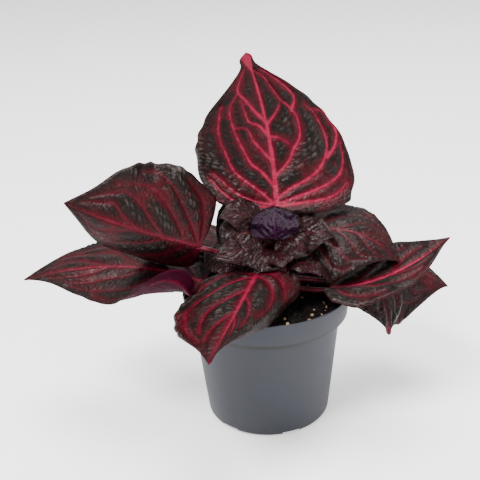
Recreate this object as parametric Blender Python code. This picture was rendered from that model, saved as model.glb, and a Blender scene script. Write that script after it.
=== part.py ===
"""Potted bloodleaf: a young plant of large heart-shaped leaves in a small nursery pot.

Sizes below are millimetres, Z up. The pot stands on z = 0 with its axis on x = y = 0,
and the front of the plant faces -Y. The meshes are made in metres.
"""
import math

import bpy
import numpy as np
from mathutils import Vector, noise

MM = 0.001
GAP = 0.3

# Pot
RIM_RADIUS = 45.0
RIM_HEIGHT = 73.0
BAND_HEIGHT = 12.7
BAND_TAPER = 1.0
WALL_TOP_RADIUS = 40.0
FOOT_RADIUS = 34.0
WALL = 1.1
FOOT_ROUND = 2.4
POT_SIDES = 44

# Raised drainage channels under the floor of the pot
CHANNELS = 6
CHANNEL_WIDTH = 10.5
CHANNEL_RISE = 2.4
CHANNEL_START = 15.0
FIRST_CHANNEL_DEG = -71.0
DRAIN_RADIUS = 2.6
DRAIN_AT = 23.0

# Soil
SOIL_TOP = 70.0
SOIL_BUMP = 1.3
SOIL_RINGS = 9

# Stem, from its foot in the soil to the growing tip
STEM_FOOT = (2.0, 2.0, 40.0)
STEM_TOP = (6.0, 2.0, 107.0)
STEM_RADIUS = 3.4
STEM_TOP_RADIUS = 2.2
STEM_SIDES = 12
STEM_NODES = (76.0, 85.0, 94.0, 100.0, 104.5)
NODE_SWELL = 1.0
BUD_LENGTH = 6.0

# Blades
BLADE_THICKNESS = 0.75
KEEL_DEPTH = 1.1
BROAD_STOPS = (0.0, 0.05, 0.28, 0.54, 0.79, 1.0)
SMALL_STOPS = (0.0, 0.07, 0.38, 0.7, 1.0)
PETIOLE_RADIUS = 1.45
PETIOLE_SIDES = 6

# Half of a flat blade: distance along the midrib and out from it, as shares of the
# blade's length and half width. The side with the tip ends at (1, 0).
BLADE_OUTLINE = (
    (0.00, 0.00), (-0.055, 0.24), (-0.05, 0.54), (0.04, 0.83), (0.25, 1.00),
    (0.50, 0.90), (0.71, 0.60), (0.855, 0.27), (0.935, 0.115), (1.00, 0.00),
)
LOBE_POINT = 3


def leaf(base, bow, tip, width, facing, left, right, narrow=(0.0, 0.0), lobes=(0.0, 0.0),
         wave=(1.4, 2.2, 0.0), pucker=0.7, node=90.0, rows=14, petiole=1.0, power=0.6):
    """One leaf.

    base, bow, tip: control points of the midrib's curve.
    facing: directions that the upper side faces at the base and at the tip.
    left, right: in each half, its fold at the base and tip, then its curl at the base and tip,
    in degrees; a fold or curl above 0 raises the margin.
    narrow: share by which each half is narrower towards the tip.
    lobes: share of the length by which each basal lobe reaches further back.
    wave: height, count and phase of the waves along the margin.
    pucker: height of the blade's swelling between side veins.
    node: height on the stem where the petiole leaves it.
    power: how early along the leaf the fold and curl change.
    """
    return dict(base=base, bow=bow, tip=tip, width=width, facing=facing, left=left, right=right,
                narrow=narrow, lobes=lobes, wave=wave, pucker=pucker, node=node, rows=rows,
                petiole=petiole, power=power)


LEAVES = {
    "leaf_tall": leaf(
        (7, 8, 115), (8, 34, 151), (-6, 22, 194), 87, ((0, -1, 0.4), (0.1, -1, 0.1)),
        (12, 12, -35, -35), (12, 12, -30, -30), narrow=(-0.1, 0.32), wave=(1.5, 2.2, 0.1),
        node=104.5),
    "leaf_left_upper": leaf(
        (-33, -14, 104), (-68, -32, 122), (-96, -28, 135), 74, ((0.1, -0.7, 0.7), (0, -0.6, 0.7)),
        (-50, -50, -95, -95), (12, 12, -20, -20), narrow=(-0.15, -0.3), lobes=(0, 0.12),
        wave=(1.6, 2.2, 0.3), node=92),
    "leaf_left_lower": leaf(
        (-34, -8, 82), (-76, 4, 95), (-131, 5, 80.5), 64, ((0, 0, 1), (0, -0.05, 1)),
        (-45, -35, 170, -40), (14, 14, -20, -20), narrow=(0.3, 0.1), wave=(1.2, 2.0, 0.0),
        node=78.5, power=0.7),
    "leaf_front": leaf(
        (-5, -22, 91), (-19, -72, 90), (-28, -98, 86), 66, ((0, 0, 1), (-0.2, 0, 1)),
        (15, 0, -70, -290), (0, 0, -25, -25), narrow=(0.85, -0.1), lobes=(0.1, 0),
        wave=(1.6, 2.2, 0.0), node=85),
    "leaf_right_front": leaf(
        (33, -16, 79), (62, -24, 81), (95, -10, 102), 47, ((-0.1, -0.05, 1), (-0.3, -0.2, 1)),
        (5, 12, -10, -10), (20, 5, -25, -25), narrow=(-0.25, 0.4), wave=(1.6, 2.2, 0.0),
        node=73.8),
    "leaf_right_upper": leaf(
        (22, 1, 102), (47, -2, 113), (69, -14, 91), 62, ((0, -0.2, 1), (0.7, -0.4, 1)),
        (10, 10, -25, -25), (-15, -15, -40, -40), wave=(1.2, 2.2, 0.0), node=94),
    "leaf_right_low": leaf(
        (48, -4, 77.5), (64, -6, 79), (63, -24, 54), 46, ((0, 0, 1), (0.8, -0.6, 0.5)),
        (0, 0, -20, -20), (5, 0, -15, -15), narrow=(0.3, 0.0), wave=(1.0, 2.2, 0.0), node=77.4),
    "leaf_right_outer": leaf(
        (55, 22, 75), (80, 24, 80), (105, 20, 59), 66, ((0, 0, 1), (0.5, -0.1, 1)),
        (0, 0, -30, -30), (-25, -25, -35, -35), narrow=(0.2, -0.25), wave=(1.2, 2.2, 0.0),
        node=81),
    "leaf_rear_left": leaf(
        (-24, 18, 92), (-46, 34, 98), (-64, 48, 88), 38, ((0, 0, 1), (-0.3, 0.2, 1)),
        (5, 5, -25, -25), (5, 5, -25, -25), node=85, rows=10),
    "leaf_rear_low": leaf(
        (6, 24, 95), (8, 50, 101), (6, 78, 85), 44, ((0, 0, 1), (0, 0.4, 1)),
        (5, 5, -25, -25), (5, 5, -25, -25), node=90, rows=10),
    "leaf_rear_right": leaf(
        (30, 18, 88), (52, 32, 92), (70, 44, 80), 38, ((0, 0, 1), (0.3, 0.3, 1)),
        (5, 5, -25, -25), (5, 5, -25, -25), node=86, rows=10),
}

YOUNG_LEAVES = {
    "young_leaf_front": leaf(
        (5, -9.5, 103.5), (5, -13.5, 113), (5, -13, 123), 25, ((0, -1, 0.4), (0, -1, 0.2)),
        (10, 10, -40, -40), (10, 10, -40, -40), node=102),
    "young_leaf_left_upper": leaf(
        (-4.5, -3, 113.5), (-13, -5.5, 120), (-23, -6.5, 116), 21,
        ((0, -1, 0.8), (-0.2, -1, 1)),
        (10, 10, -50, -50), (10, 10, -50, -50), node=104.5),
    "young_leaf_left_lower": leaf(
        (-6.5, -13.5, 101.5), (-15, -19.5, 104), (-27, -22.5, 100.5), 18,
        ((0, -1, 1), (-0.2, -0.8, 1)),
        (10, 10, -40, -40), (10, 10, -40, -40), node=99),
    "young_leaf_middle": leaf(
        (6.5, -11, 99), (6.5, -18, 101), (8, -27, 96), 20, ((0, -0.3, 1), (0, -1, 0.6)),
        (5, 5, -40, -40), (5, 5, -40, -40), node=97),
    "young_leaf_right": leaf(
        (17, -7, 105), (25, -12, 111), (35, -14, 106), 24, ((0, -0.8, 1), (0.3, -0.8, 1)),
        (10, 10, -50, -50), (10, 10, -50, -50), node=101),
    "young_leaf_low": leaf(
        (15, -15, 94), (20.5, -24.5, 97.5), (26, -33, 93.5), 17,
        ((0.1, -0.3, 1), (0.3, -0.6, 1)),
        (10, 10, -40, -40), (10, 10, -40, -40), node=94.5),
    "young_leaf_side": leaf(
        (-8, -3, 88), (-17, -6, 90), (-26, -8, 87), 17, ((0, 0.1, 1), (-0.2, 0, 1)),
        (5, 5, -25, -25), (5, 5, -25, -25), node=88),
}
YOUNG_PUCKER = 0.9
YOUNG_ROWS = 8

POT_GREY = (0.122, 0.130, 0.150)
SOIL_BROWN = (0.014, 0.010, 0.007)
STEM_RED = (0.16, 0.018, 0.028)
BLADE_DARK = (0.045, 0.024, 0.022)
YOUNG_PURPLE = (0.075, 0.018, 0.050)


def unit(vectors):
    vectors = np.asarray(vectors, float)
    return vectors / np.linalg.norm(vectors, axis=-1, keepdims=True)


def blend(start, end, share):
    return start + (end - start) * share


def principled(name, colour, roughness, metallic=0.0):
    material = bpy.data.materials.new(name)
    material.use_nodes = True
    shader = material.node_tree.nodes["Principled BSDF"]
    shader.inputs["Base Color"].default_value = (*colour, 1.0)
    shader.inputs["Roughness"].default_value = roughness
    shader.inputs["Metallic"].default_value = metallic
    return material


def add_object(name, points, faces, material=None):
    """Mesh object from points in millimetres."""
    mesh = bpy.data.meshes.new(name)
    mesh.from_pydata([tuple(p) for p in np.asarray(points) * MM], [], faces)
    mesh.validate()
    if material:
        mesh.materials.append(material)
    item = bpy.data.objects.new(name, mesh)
    bpy.context.scene.collection.objects.link(item)
    return item


def combine(target, tool, operation):
    """Boolean the tool into the target, keep the plain result and drop the tool."""
    modifier = target.modifiers.new("combine", "BOOLEAN")
    modifier.operation = operation
    modifier.solver = "EXACT"
    modifier.object = tool
    graph = bpy.context.evaluated_depsgraph_get()
    result = bpy.data.meshes.new_from_object(target.evaluated_get(graph))
    before = target.data
    target.modifiers.clear()
    target.data = result
    bpy.data.meshes.remove(before)
    bpy.data.objects.remove(tool)


def soften(item, angle_deg=40.0):
    item.data.shade_smooth()
    item.data.set_sharp_from_angle(angle=math.radians(angle_deg))


def turned(name, profile, sides, material=None):
    """Closed solid turned round Z from (radius, height) points that run up the outside,
    from the axis below to the axis above."""
    bottom = profile[0][1]
    top = profile[-1][1]
    points = [(0.0, 0.0, bottom)]
    faces = []
    rings = profile[1:-1]
    for radius, height in rings:
        for k in range(sides):
            angle = 2 * math.pi * k / sides
            points.append((radius * math.cos(angle), radius * math.sin(angle), height))
    points.append((0.0, 0.0, top))
    last = len(points) - 1
    for k in range(sides):
        after = (k + 1) % sides
        faces.append((0, 1 + after, 1 + k))
        for ring in range(len(rings) - 1):
            low = 1 + ring * sides
            high = low + sides
            faces.append((low + k, low + after, high + after, high + k))
        edge = 1 + (len(rings) - 1) * sides
        faces.append((edge + k, edge + after, last))
    return add_object(name, points, faces, material)


def box(name, low, high):
    points = [(x, y, z) for x in (low[0], high[0]) for y in (low[1], high[1])
              for z in (low[2], high[2])]
    faces = [(0, 1, 3, 2), (4, 6, 7, 5), (0, 4, 5, 1), (2, 3, 7, 6), (0, 2, 6, 4), (1, 5, 7, 3)]
    return add_object(name, points, faces)


def tube(name, path, radii, sides, material=None):
    """Closed round rod along the path, with flat ends."""
    path = np.asarray(path, float)
    heading = unit(np.gradient(path, axis=0))
    side = unit(np.cross(heading[0], (0.31, 0.22, 0.93)))
    points = []
    for centre, ahead, radius in zip(path, heading, radii):
        side = unit(side - ahead * np.dot(side, ahead))
        other = np.cross(ahead, side)
        for k in range(sides):
            angle = 2 * math.pi * k / sides
            points.append(centre + radius * (math.cos(angle) * side + math.sin(angle) * other))
    faces = []
    for ring in range(len(path) - 1):
        for k in range(sides):
            after = (k + 1) % sides
            low = ring * sides
            high = low + sides
            faces.append((low + k, low + after, high + after, high + k))
    faces.append(tuple(reversed(range(sides))))
    end = (len(path) - 1) * sides
    faces.append(tuple(range(end, end + sides)))
    return add_object(name, points, faces, material)


def pot_inside():
    """Inner profile of the pot, from its floor up to the lip."""
    step = RIM_HEIGHT - BAND_HEIGHT
    return [
        (FOOT_RADIUS - WALL - FOOT_ROUND * 0.6, WALL),
        (FOOT_RADIUS - WALL, FOOT_ROUND + WALL),
        (WALL_TOP_RADIUS - WALL, step - WALL),
        (RIM_RADIUS - BAND_TAPER - WALL, step + WALL),
        (RIM_RADIUS - WALL, RIM_HEIGHT),
    ]


def pot_outside():
    """Outer profile of the pot, from its flat foot up to the lip."""
    step = RIM_HEIGHT - BAND_HEIGHT
    profile = []
    for k in range(4):
        turn = math.radians(30 * k)
        radius = FOOT_RADIUS - FOOT_ROUND * (1 - math.sin(turn))
        profile.append((radius, FOOT_ROUND * (1 - math.cos(turn))))
    profile += [
        (WALL_TOP_RADIUS, step - 1.2),
        (WALL_TOP_RADIUS + 0.4, step - 0.3),
        (RIM_RADIUS - BAND_TAPER - 0.5, step),
        (RIM_RADIUS - BAND_TAPER, step + 0.5),
        (RIM_RADIUS, RIM_HEIGHT - 0.4),
        (RIM_RADIUS - 0.3, RIM_HEIGHT),
    ]
    return profile


def build_pot(material):
    """Thin-walled pot with a wide rim band and drainage channels under its floor."""
    inner = pot_inside()
    profile = [(0.0, 0.0)] + pot_outside() + list(reversed(inner)) + [(0.0, WALL)]
    pot = turned("pot", profile, POT_SIDES, material)
    for k in range(CHANNELS):
        turn = math.radians(FIRST_CHANNEL_DEG + 360 / CHANNELS * k)
        half = CHANNEL_WIDTH / 2
        roof = box("roof", (CHANNEL_START - WALL, -half - WALL, 0.4),
                   (FOOT_RADIUS - WALL / 2, half + WALL, CHANNEL_RISE + WALL))
        roof.rotation_euler = (0, 0, turn)
        combine(pot, roof, "UNION")
        channel = box("channel", (CHANNEL_START, -half, -1.0),
                      (FOOT_RADIUS + 2, half, CHANNEL_RISE))
        channel.rotation_euler = (0, 0, turn)
        combine(pot, channel, "DIFFERENCE")
        drain = turned("drain", [(0, -1), (DRAIN_RADIUS, -1), (DRAIN_RADIUS, 6), (0, 6)], 12)
        drain.location = (DRAIN_AT * MM * math.cos(turn), DRAIN_AT * MM * math.sin(turn), 0)
        combine(pot, drain, "DIFFERENCE")
    soften(pot, 30)
    return pot


def stem_at(height):
    """Centre and radius of the stem at a height."""
    foot, top = np.array(STEM_FOOT), np.array(STEM_TOP)
    share = (height - foot[2]) / (top[2] - foot[2])
    centre = blend(foot, top, share)
    radius = blend(STEM_RADIUS, STEM_TOP_RADIUS, share)
    for node in STEM_NODES:
        radius += NODE_SWELL * math.exp(-((height - node) / 1.6) ** 2)
    return centre, radius


def build_soil(material):
    """Plug of potting soil with an uneven top and a plain hole for the stem."""
    inner = pot_inside()
    floor = CHANNEL_RISE + WALL + GAP
    side = [(inner[1][0] - 0.4, floor)]
    side += [(radius - 0.4, height + 0.3) for radius, height in inner[2:4]]
    rim = inner[3][0] - 0.4 + (SOIL_TOP - inner[3][1]) * BAND_TAPER / BAND_HEIGHT
    profile = [(0.0, floor)] + side + [(rim, SOIL_TOP - 0.8)]
    for ring in range(1, SOIL_RINGS):
        profile.append((rim * (1 - ring / SOIL_RINGS), SOIL_TOP))
    profile.append((0.0, SOIL_TOP))
    soil = turned("soil", profile, POT_SIDES, material)
    for vertex in soil.data.vertices:
        x, y, z = vertex.co / MM
        if z > SOIL_TOP - 0.5:
            bump = noise.noise(Vector((x * 0.16, y * 0.16, 3.7)))
            bump += 0.6 * noise.noise(Vector((x * 0.4, y * 0.4, 9.1)))
            vertex.co.z += SOIL_BUMP * bump * MM
    path = [stem_at(height)[0] for height in (STEM_FOOT[2] - GAP, SOIL_TOP + 8)]
    hole = tube("hole", path, [STEM_RADIUS + GAP + 0.1] * 2, STEM_SIDES)
    combine(soil, hole, "DIFFERENCE")
    soften(soil, 60)
    return soil


def build_stem(material):
    """Upright stem with swollen nodes and a pointed bud at its tip."""
    heights = [STEM_FOOT[2], 58.0, 68.0]
    for node in STEM_NODES:
        heights += [node - 2.2, node - 0.9, node + 0.9, node + 2.2]
    heights = sorted(height for height in heights if height <= STEM_TOP[2])
    path = []
    radii = []
    for height in heights:
        centre, radius = stem_at(height)
        path.append(centre)
        radii.append(min(radius, STEM_RADIUS) if height < SOIL_TOP else radius)
    top = np.array(STEM_TOP)
    for share, width in ((0.0, 1.0), (0.35, 0.95), (0.7, 0.6), (1.0, 0.15)):
        path.append(top + np.array((0.0, -0.6, 1.0)) * BUD_LENGTH * share + (0, 0, 0.4))
        radii.append(STEM_TOP_RADIUS * width)
    stem = tube("stem", path, radii, STEM_SIDES, material)
    soften(stem, 50)
    return stem


def smooth_line(points, per_span=16):
    """Curve through all the points."""
    knots = np.asarray(points, float)
    knots = np.vstack([2 * knots[0] - knots[1], knots, 2 * knots[-1] - knots[-2]])
    line = []
    for k in range(len(knots) - 3):
        before, start, end, after = knots[k:k + 4]
        for step in range(per_span):
            t = step / per_span
            line.append(0.5 * (2 * start + (end - before) * t
                               + (2 * before - 5 * start + 4 * end - after) * t * t
                               + (3 * start - before - 3 * end + after) * t ** 3))
    line.append(knots[-2])
    return np.array(line)


def vein_rows(length, half, rows):
    """Side veins of the flat half blade: where each starts on the midrib, the point that
    bends it and where it ends on the margin."""
    per_span = 16
    line = smooth_line(BLADE_OUTLINE, per_span) * (length, half)
    margin = line[LOBE_POINT * per_span:]
    steps = np.hypot(*np.diff(margin, axis=0).T)
    along = np.concatenate([[0], np.cumsum(steps)]) / steps.sum()
    share = np.arange(rows + 1) / rows
    ends = np.stack([np.interp(share, along, margin[:, k]) for k in (0, 1)], axis=1)
    starts = np.stack([length * share ** 1.45, np.zeros(rows + 1)], axis=1)
    lean = np.radians(118 - 84 * share ** 0.8)
    reach = 0.52 * np.hypot(*(ends - starts).T)
    bends = starts + reach[:, None] * np.stack([np.cos(lean), np.sin(lean)], axis=1)
    return starts, bends, ends


class Midrib:
    """The curve of a leaf's midrib, with a frame along it: ahead, across and up."""

    def __init__(self, spec, steps=200):
        base, bow, tip = (np.array(spec[key], float) for key in ("base", "bow", "tip"))
        t = np.linspace(0, 1, steps + 1)[:, None]
        self.points = (1 - t) ** 2 * base + 2 * t * (1 - t) * bow + t * t * tip
        self.ahead = unit((1 - t) * (bow - base) + t * (tip - bow))
        steps = np.linalg.norm(np.diff(self.points, axis=0), axis=1)
        self.run = np.concatenate([[0], np.cumsum(steps)])
        self.length = self.run[-1]
        first, last = (unit(direction) for direction in spec["facing"])
        up = blend(first, last, (self.run / self.length)[:, None])
        self.up = unit(up - self.ahead * np.sum(up * self.ahead, axis=1, keepdims=True))
        self.across = np.cross(self.ahead, self.up)

    def at(self, distance):
        """Point and frame at distances along the midrib; before its start it runs straight."""
        inside = np.clip(distance, 0, self.length)
        found = []
        for values in (self.points, self.ahead, self.across, self.up):
            found.append(np.stack([np.interp(inside, self.run, values[:, k]) for k in range(3)],
                                  axis=-1))
        point, ahead, across, up = found
        return point + ahead * (distance - inside)[..., None], ahead, across, up


def bent_half(width, half, fold, curl, samples=16):
    """Distances across and up, at a width out from the midrib, of a half blade that leaves
    the midrib at the fold angle and turns further by the curl angle at its full width."""
    share = (np.arange(samples) + 0.5) / samples
    out = width[..., None] * share
    turn = np.radians(fold[..., None] + curl[..., None] * out / half)
    return np.cos(turn).mean(axis=-1) * width, np.sin(turn).mean(axis=-1) * width


def blade_grid(spec, stops):
    """Middle surface of the blade: rows follow the side veins, columns run from the left
    margin over the midrib to the right margin."""
    midrib = Midrib(spec)
    half = spec["width"] / 2
    rows = spec["rows"]
    starts, bends, ends = vein_rows(midrib.length, half, rows)
    s = np.asarray(stops)[None, :, None]
    flat = ((1 - s) ** 2 * starts[:, None] + 2 * s * (1 - s) * bends[:, None]
            + s * s * ends[:, None])
    along, out = flat[..., 0], flat[..., 1]
    share = np.clip(along / midrib.length, 0, 1)
    odd_row = np.where(np.arange(rows + 1) % 2 == 0, -1.0, 1.0)[:, None]
    swell = np.sin(np.pi * np.clip(np.asarray(stops), 0, 0.92) / 0.92)[None, :]
    back = (1 - np.arange(rows + 1) / rows)[:, None] ** 2 * np.asarray(stops)[None, :] ** 2
    height, count, phase = spec["wave"]
    sides = []
    for sign, key, shift in ((-1, "left", 0.0), (1, "right", 0.35)):
        fold_base, fold_tip, curl_base, curl_tip = spec[key]
        narrow = spec["narrow"][0 if sign < 0 else 1]
        lobe = spec["lobes"][0 if sign < 0 else 1]
        width = out * (1 - narrow * share)
        fold = blend(fold_base, fold_tip, share ** spec["power"])
        curl = blend(curl_base, curl_tip, share ** spec["power"])
        across, up = bent_half(width, half, fold, curl)
        waves = height * (width / half) ** 2 * np.sin(2 * np.pi * (count * share + phase + shift))
        up = up + waves + spec["pucker"] * odd_row * swell
        point, _, over, above = midrib.at(along - lobe * midrib.length * back)
        sides.append(point + sign * across[..., None] * over + up[..., None] * above)
    left, right = sides
    return np.concatenate([left[:, :0:-1], right], axis=1)


def blade_solid(name, spec, material):
    """Thin closed blade, thicker under the midrib. Both faces share one split into triangles."""
    stops = BROAD_STOPS if spec["rows"] > 12 else SMALL_STOPS
    grid = blade_grid(spec, stops)
    rows, columns = grid.shape[0] - 1, grid.shape[1]
    middle = columns // 2
    over = np.gradient(grid, axis=1)
    along = np.gradient(grid, axis=0)
    over[rows] = over[rows - 1]
    upward = unit(np.cross(over, along))
    upward[rows] = upward[rows, middle] = upward[rows - 1, middle]
    top = grid + upward * BLADE_THICKNESS / 2
    bottom = grid - upward * BLADE_THICKNESS / 2
    keel = KEEL_DEPTH * spec["petiole"] * (1 - np.arange(rows + 1) / rows) ** 0.8
    bottom[:, middle] -= upward[:, middle] * keel[:, None]

    def index(i, j):
        return rows * columns if i == rows else i * columns + j

    count = rows * columns + 1
    points = np.vstack([top[:rows].reshape(-1, 3), top[rows, middle][None],
                        bottom[:rows].reshape(-1, 3), bottom[rows, middle][None]])
    faces = []
    for i in range(rows):
        for j in range(columns - 1):
            a, b = index(i, j), index(i + 1, j)
            c, d = index(i + 1, j + 1), index(i, j + 1)
            pair = ((a, d, c), (a, c, b)) if j < middle else ((a, d, b), (d, c, b))
            for triangle in pair:
                if len(set(triangle)) == 3:
                    faces.append(triangle)
                    faces.append(tuple(count + corner for corner in reversed(triangle)))
    edge = [index(0, j) for j in range(columns)]
    edge += [index(i, columns - 1) for i in range(1, rows + 1)]
    edge += [index(i, 0) for i in range(rows - 1, 0, -1)]
    for here, there in zip(edge, edge[1:] + edge[:1]):
        faces.append((there, here, count + here))
        faces.append((there, count + here, count + there))
    return add_object(name, points, faces, material)


def petiole_path(spec):
    """Leaf stalk from just off the stem to the underside of the midrib's first stretch."""
    midrib = Midrib(spec)
    base, ahead, _, up = (value[0] for value in midrib.at(np.array([0.0])))
    thick = PETIOLE_RADIUS * spec["petiole"]
    centre, _ = stem_at(spec["node"])
    radius = max(stem_at(spec["node"] + rise)[1] for rise in (-thick, 0.0, thick))
    outward = base - centre
    outward[2] = 0
    outward = unit(outward)
    start = centre + outward * (radius + GAP)
    end = base - up * 0.5
    square = start + outward * 0.8
    reach = np.linalg.norm(end - square)
    first = square + outward * 0.4 * reach
    second = end - ahead * 0.35 * reach
    path = [start]
    radii = [thick * 1.15]
    for t in np.linspace(0, 1, 8):
        path.append((1 - t) ** 3 * square + 3 * t * (1 - t) ** 2 * first
                    + 3 * t * t * (1 - t) * second + t ** 3 * end)
        radii.append(thick * blend(1.15, 0.95, t))
    for distance, size in ((3.0, 0.85), (7.0, 0.6), (12.0, 0.35)):
        distance *= min(1.0, midrib.length / 40)
        point, _, _, above = (value[0] for value in midrib.at(np.array([distance])))
        path.append(point - above * 0.6)
        radii.append(thick * size)
    return path, radii


def build_leaf(name, spec, material):
    """Blade and stalk in one body."""
    blade = blade_solid(name, spec, material)
    path, radii = petiole_path(spec)
    stalk = tube("stalk", path, radii, PETIOLE_SIDES)
    combine(blade, stalk, "UNION")
    soften(blade, 60)
    return blade


def main():
    for item in list(bpy.data.objects):
        bpy.data.objects.remove(item)
    build_pot(principled("pot_plastic", POT_GREY, 0.5))
    build_soil(principled("potting_soil", SOIL_BROWN, 0.95))
    build_stem(principled("stem_skin", STEM_RED, 0.4))
    blade = principled("blade", BLADE_DARK, 0.4)
    young = principled("young_blade", YOUNG_PURPLE, 0.35)
    for name, spec in LEAVES.items():
        build_leaf(name, spec, blade)
    for name, spec in YOUNG_LEAVES.items():
        spec.update(rows=YOUNG_ROWS, pucker=YOUNG_PUCKER, petiole=0.7)
        build_leaf(name, spec, young)


main()
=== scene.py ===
"""Potted bloodleaf: the finished look of a young plant with crimson-veined leaves.

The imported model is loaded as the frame, and each leaf, the stem, the soil and the pot get their
finished shapes and materials round it. Sizes in the tables are millimetres, Z up, with the pot
standing on z = 0 and the front of the plant facing -Y. Meshes are made in metres.
"""
import math

import bmesh
import bpy
import numpy as np
from mathutils import Matrix, Vector, noise


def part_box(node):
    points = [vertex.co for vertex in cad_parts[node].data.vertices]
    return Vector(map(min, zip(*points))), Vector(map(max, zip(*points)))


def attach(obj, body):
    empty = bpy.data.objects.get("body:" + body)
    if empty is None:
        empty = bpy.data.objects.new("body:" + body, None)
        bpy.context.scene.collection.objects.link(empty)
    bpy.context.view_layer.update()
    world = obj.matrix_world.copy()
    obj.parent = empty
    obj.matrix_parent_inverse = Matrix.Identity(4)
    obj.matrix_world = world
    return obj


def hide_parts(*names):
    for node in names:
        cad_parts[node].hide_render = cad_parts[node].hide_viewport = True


bl_info = {
    "name": "Potted Bloodleaf",
    "version": (1, 0, 0),
    "blender": (4, 5, 0),
    "location": "View3D > Sidebar > Bloodleaf",
    "description": "Builds a potted bloodleaf plant, piece by piece",
    "category": "Add Mesh",
}

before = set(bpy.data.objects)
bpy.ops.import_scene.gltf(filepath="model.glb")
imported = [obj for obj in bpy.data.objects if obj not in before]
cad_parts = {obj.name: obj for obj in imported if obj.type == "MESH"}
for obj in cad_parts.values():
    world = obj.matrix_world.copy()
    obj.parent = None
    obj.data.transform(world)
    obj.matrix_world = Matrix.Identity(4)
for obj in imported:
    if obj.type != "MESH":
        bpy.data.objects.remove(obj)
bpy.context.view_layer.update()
BODY = "root"
MM = 0.001

# Sizes in millimetres, as the solids have them
POT_BOX = [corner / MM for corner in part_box("pot")]
RIM_RADIUS = POT_BOX[1][0]
RIM_HEIGHT = POT_BOX[1][2]
BAND_HEIGHT = 12.7
BAND_FOOT = RIM_HEIGHT - BAND_HEIGHT
BAND_TAPER = 1.0
WALL_TOP_RADIUS = 40.0
FOOT_RADIUS = 34.0
CHANNELS = 6
CHANNEL_WIDTH = 10.5
CHANNEL_RISE = 2.4
CHANNEL_START = 15.0
FIRST_CHANNEL_DEG = -71.0
DRAIN_RADIUS = 2.6
DRAIN_AT = 23.0
SOIL_TOP = 70.0
STEM_FOOT = (2.0, 2.0, 40.0)
STEM_TOP = (6.0, 2.0, 107.0)
STEM_NODES = (76.0, 85.0, 94.0, 100.0, 104.5)
STEM_RADIUS = 3.4
STEM_TOP_RADIUS = 2.2
NODE_SWELL = 1.0
NODE_SPREAD = 1.6
BUD_LENGTH = 6.0
PETIOLE_RADIUS = 1.45
KEEL_DEPTH = 1.1

# Sizes in millimetres that only the meshes have
SOIL_FOOT = 3.8
SOIL_GAP = 0.4
SOIL_BUMP = 1.3
GRAIN_INSET = 1.3
KEEL_WIDTH = 1.1
RIB_HEIGHT = 0.35
NET_WIDTH = 0.2
LINK_WIDTH = 0.22
RIDGE_LENGTH = 2.6

# How finely the meshes are divided. The rows of a blade run aslant, so it has more of them than
# its length takes.
SOIL_RINGS, SOIL_SIDES = 36, 120
GRAIN_RINGS, GRAIN_SIDES = 24, 72
STEM_STEP, STEM_SIDES = 0.7, 28
STALK_SIDES = 14
OUTLINE_STEPS, MIDRIB_STEPS, BEND_STEPS = 16, 200, 16
FEWEST_ROWS, FEWEST_COLUMNS = 36, 14
SLANT = 1.15
SHARP_DEG = 32

# Small forms of a blade: by which part of a wave the right half is ahead, how many scallops
# and ruffles its margin has and how deep the scallops cut, and how much of the blade's thickness
# is left at the margin
HALF_SHIFT = 0.35
SCALLOPS, SCALLOP_DEPTH = 6.3, 0.025
RUFFLES = 9.0
MARGIN_THICKNESS = 0.45

# How far the knots of a side vein are moved at random, in shares of the blade: those of the common
# table and those of the others
COMMON_SWAY, DRAWN_SWAY = 0.014, 0.007

# Where a stalk still shows under the midrib, and its thickness there
STALK_END = ((1.5, 0.9), (3.0, 0.8), (7.0, 0.55), (12.0, 0.3))

# Relief of a blade: how strongly it quilts between its side veins, how pebbled it is, the small
# ruffles of its margin in millimetres, its share of the common mesh spacing, and how thick its
# stalk is beside the common one
FULL_GROWN = {"quilting": 1.0, "pebble": 0.65, "ruffle": 0.35, "fineness": 1.0}
YOUNG = {"quilting": 0.5, "pebble": 1.0, "ruffle": 0.3, "fineness": 0.5, "petiole": 0.7}

# Veins of each leaf: their width beside the common one, then how bright the midrib, the side
# veins, the fine net and the tip are
VEIN_LOOKS = {
    "leaf_tall": (1.40, 0.95, 0.88, 0.8, 0.95),
    "leaf_left_upper": (0.70, 0.50, 0.35, 0.25, 0.1),
    "leaf_left_lower": (0.75, 0.70, 0.40, 0.30, 0.2),
    "leaf_front": (1.30, 0.68, 0.50, 0.45, 0.5),
    # The right front leaf's veins are set brighter partly for its own bright, wide midrib and
    # partly as painted light on a leaf that lies in the shade of the right upper one
    "leaf_right_front": (1.5, 1.05, 0.40, 0.40, 0.0),
    "leaf_right_upper": (0.75, 0.45, 0.25, 0.25, 0.1),
    "leaf_right_low": (0.70, 0.35, 0.10, 0.15, 1.3),
    "leaf_right_outer": (0.70, 0.40, 0.20, 0.30, 0.0),
}
COMMON_LOOK = (0.8, 0.55, 0.35, 0.4, 0.2)

# Marks kept at each point of a blade: distance from the nearest vein, from the nearest fine vein
# and from the rim, how bright the veins are, and the height of its lumps; and what they say on
# the stalk
MARKS = ("vein", "twig", "rim", "glow", "lump")
STALK_MARKS = (-0.5, 9.0, 9.0, 0.5, 0.5)

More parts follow.
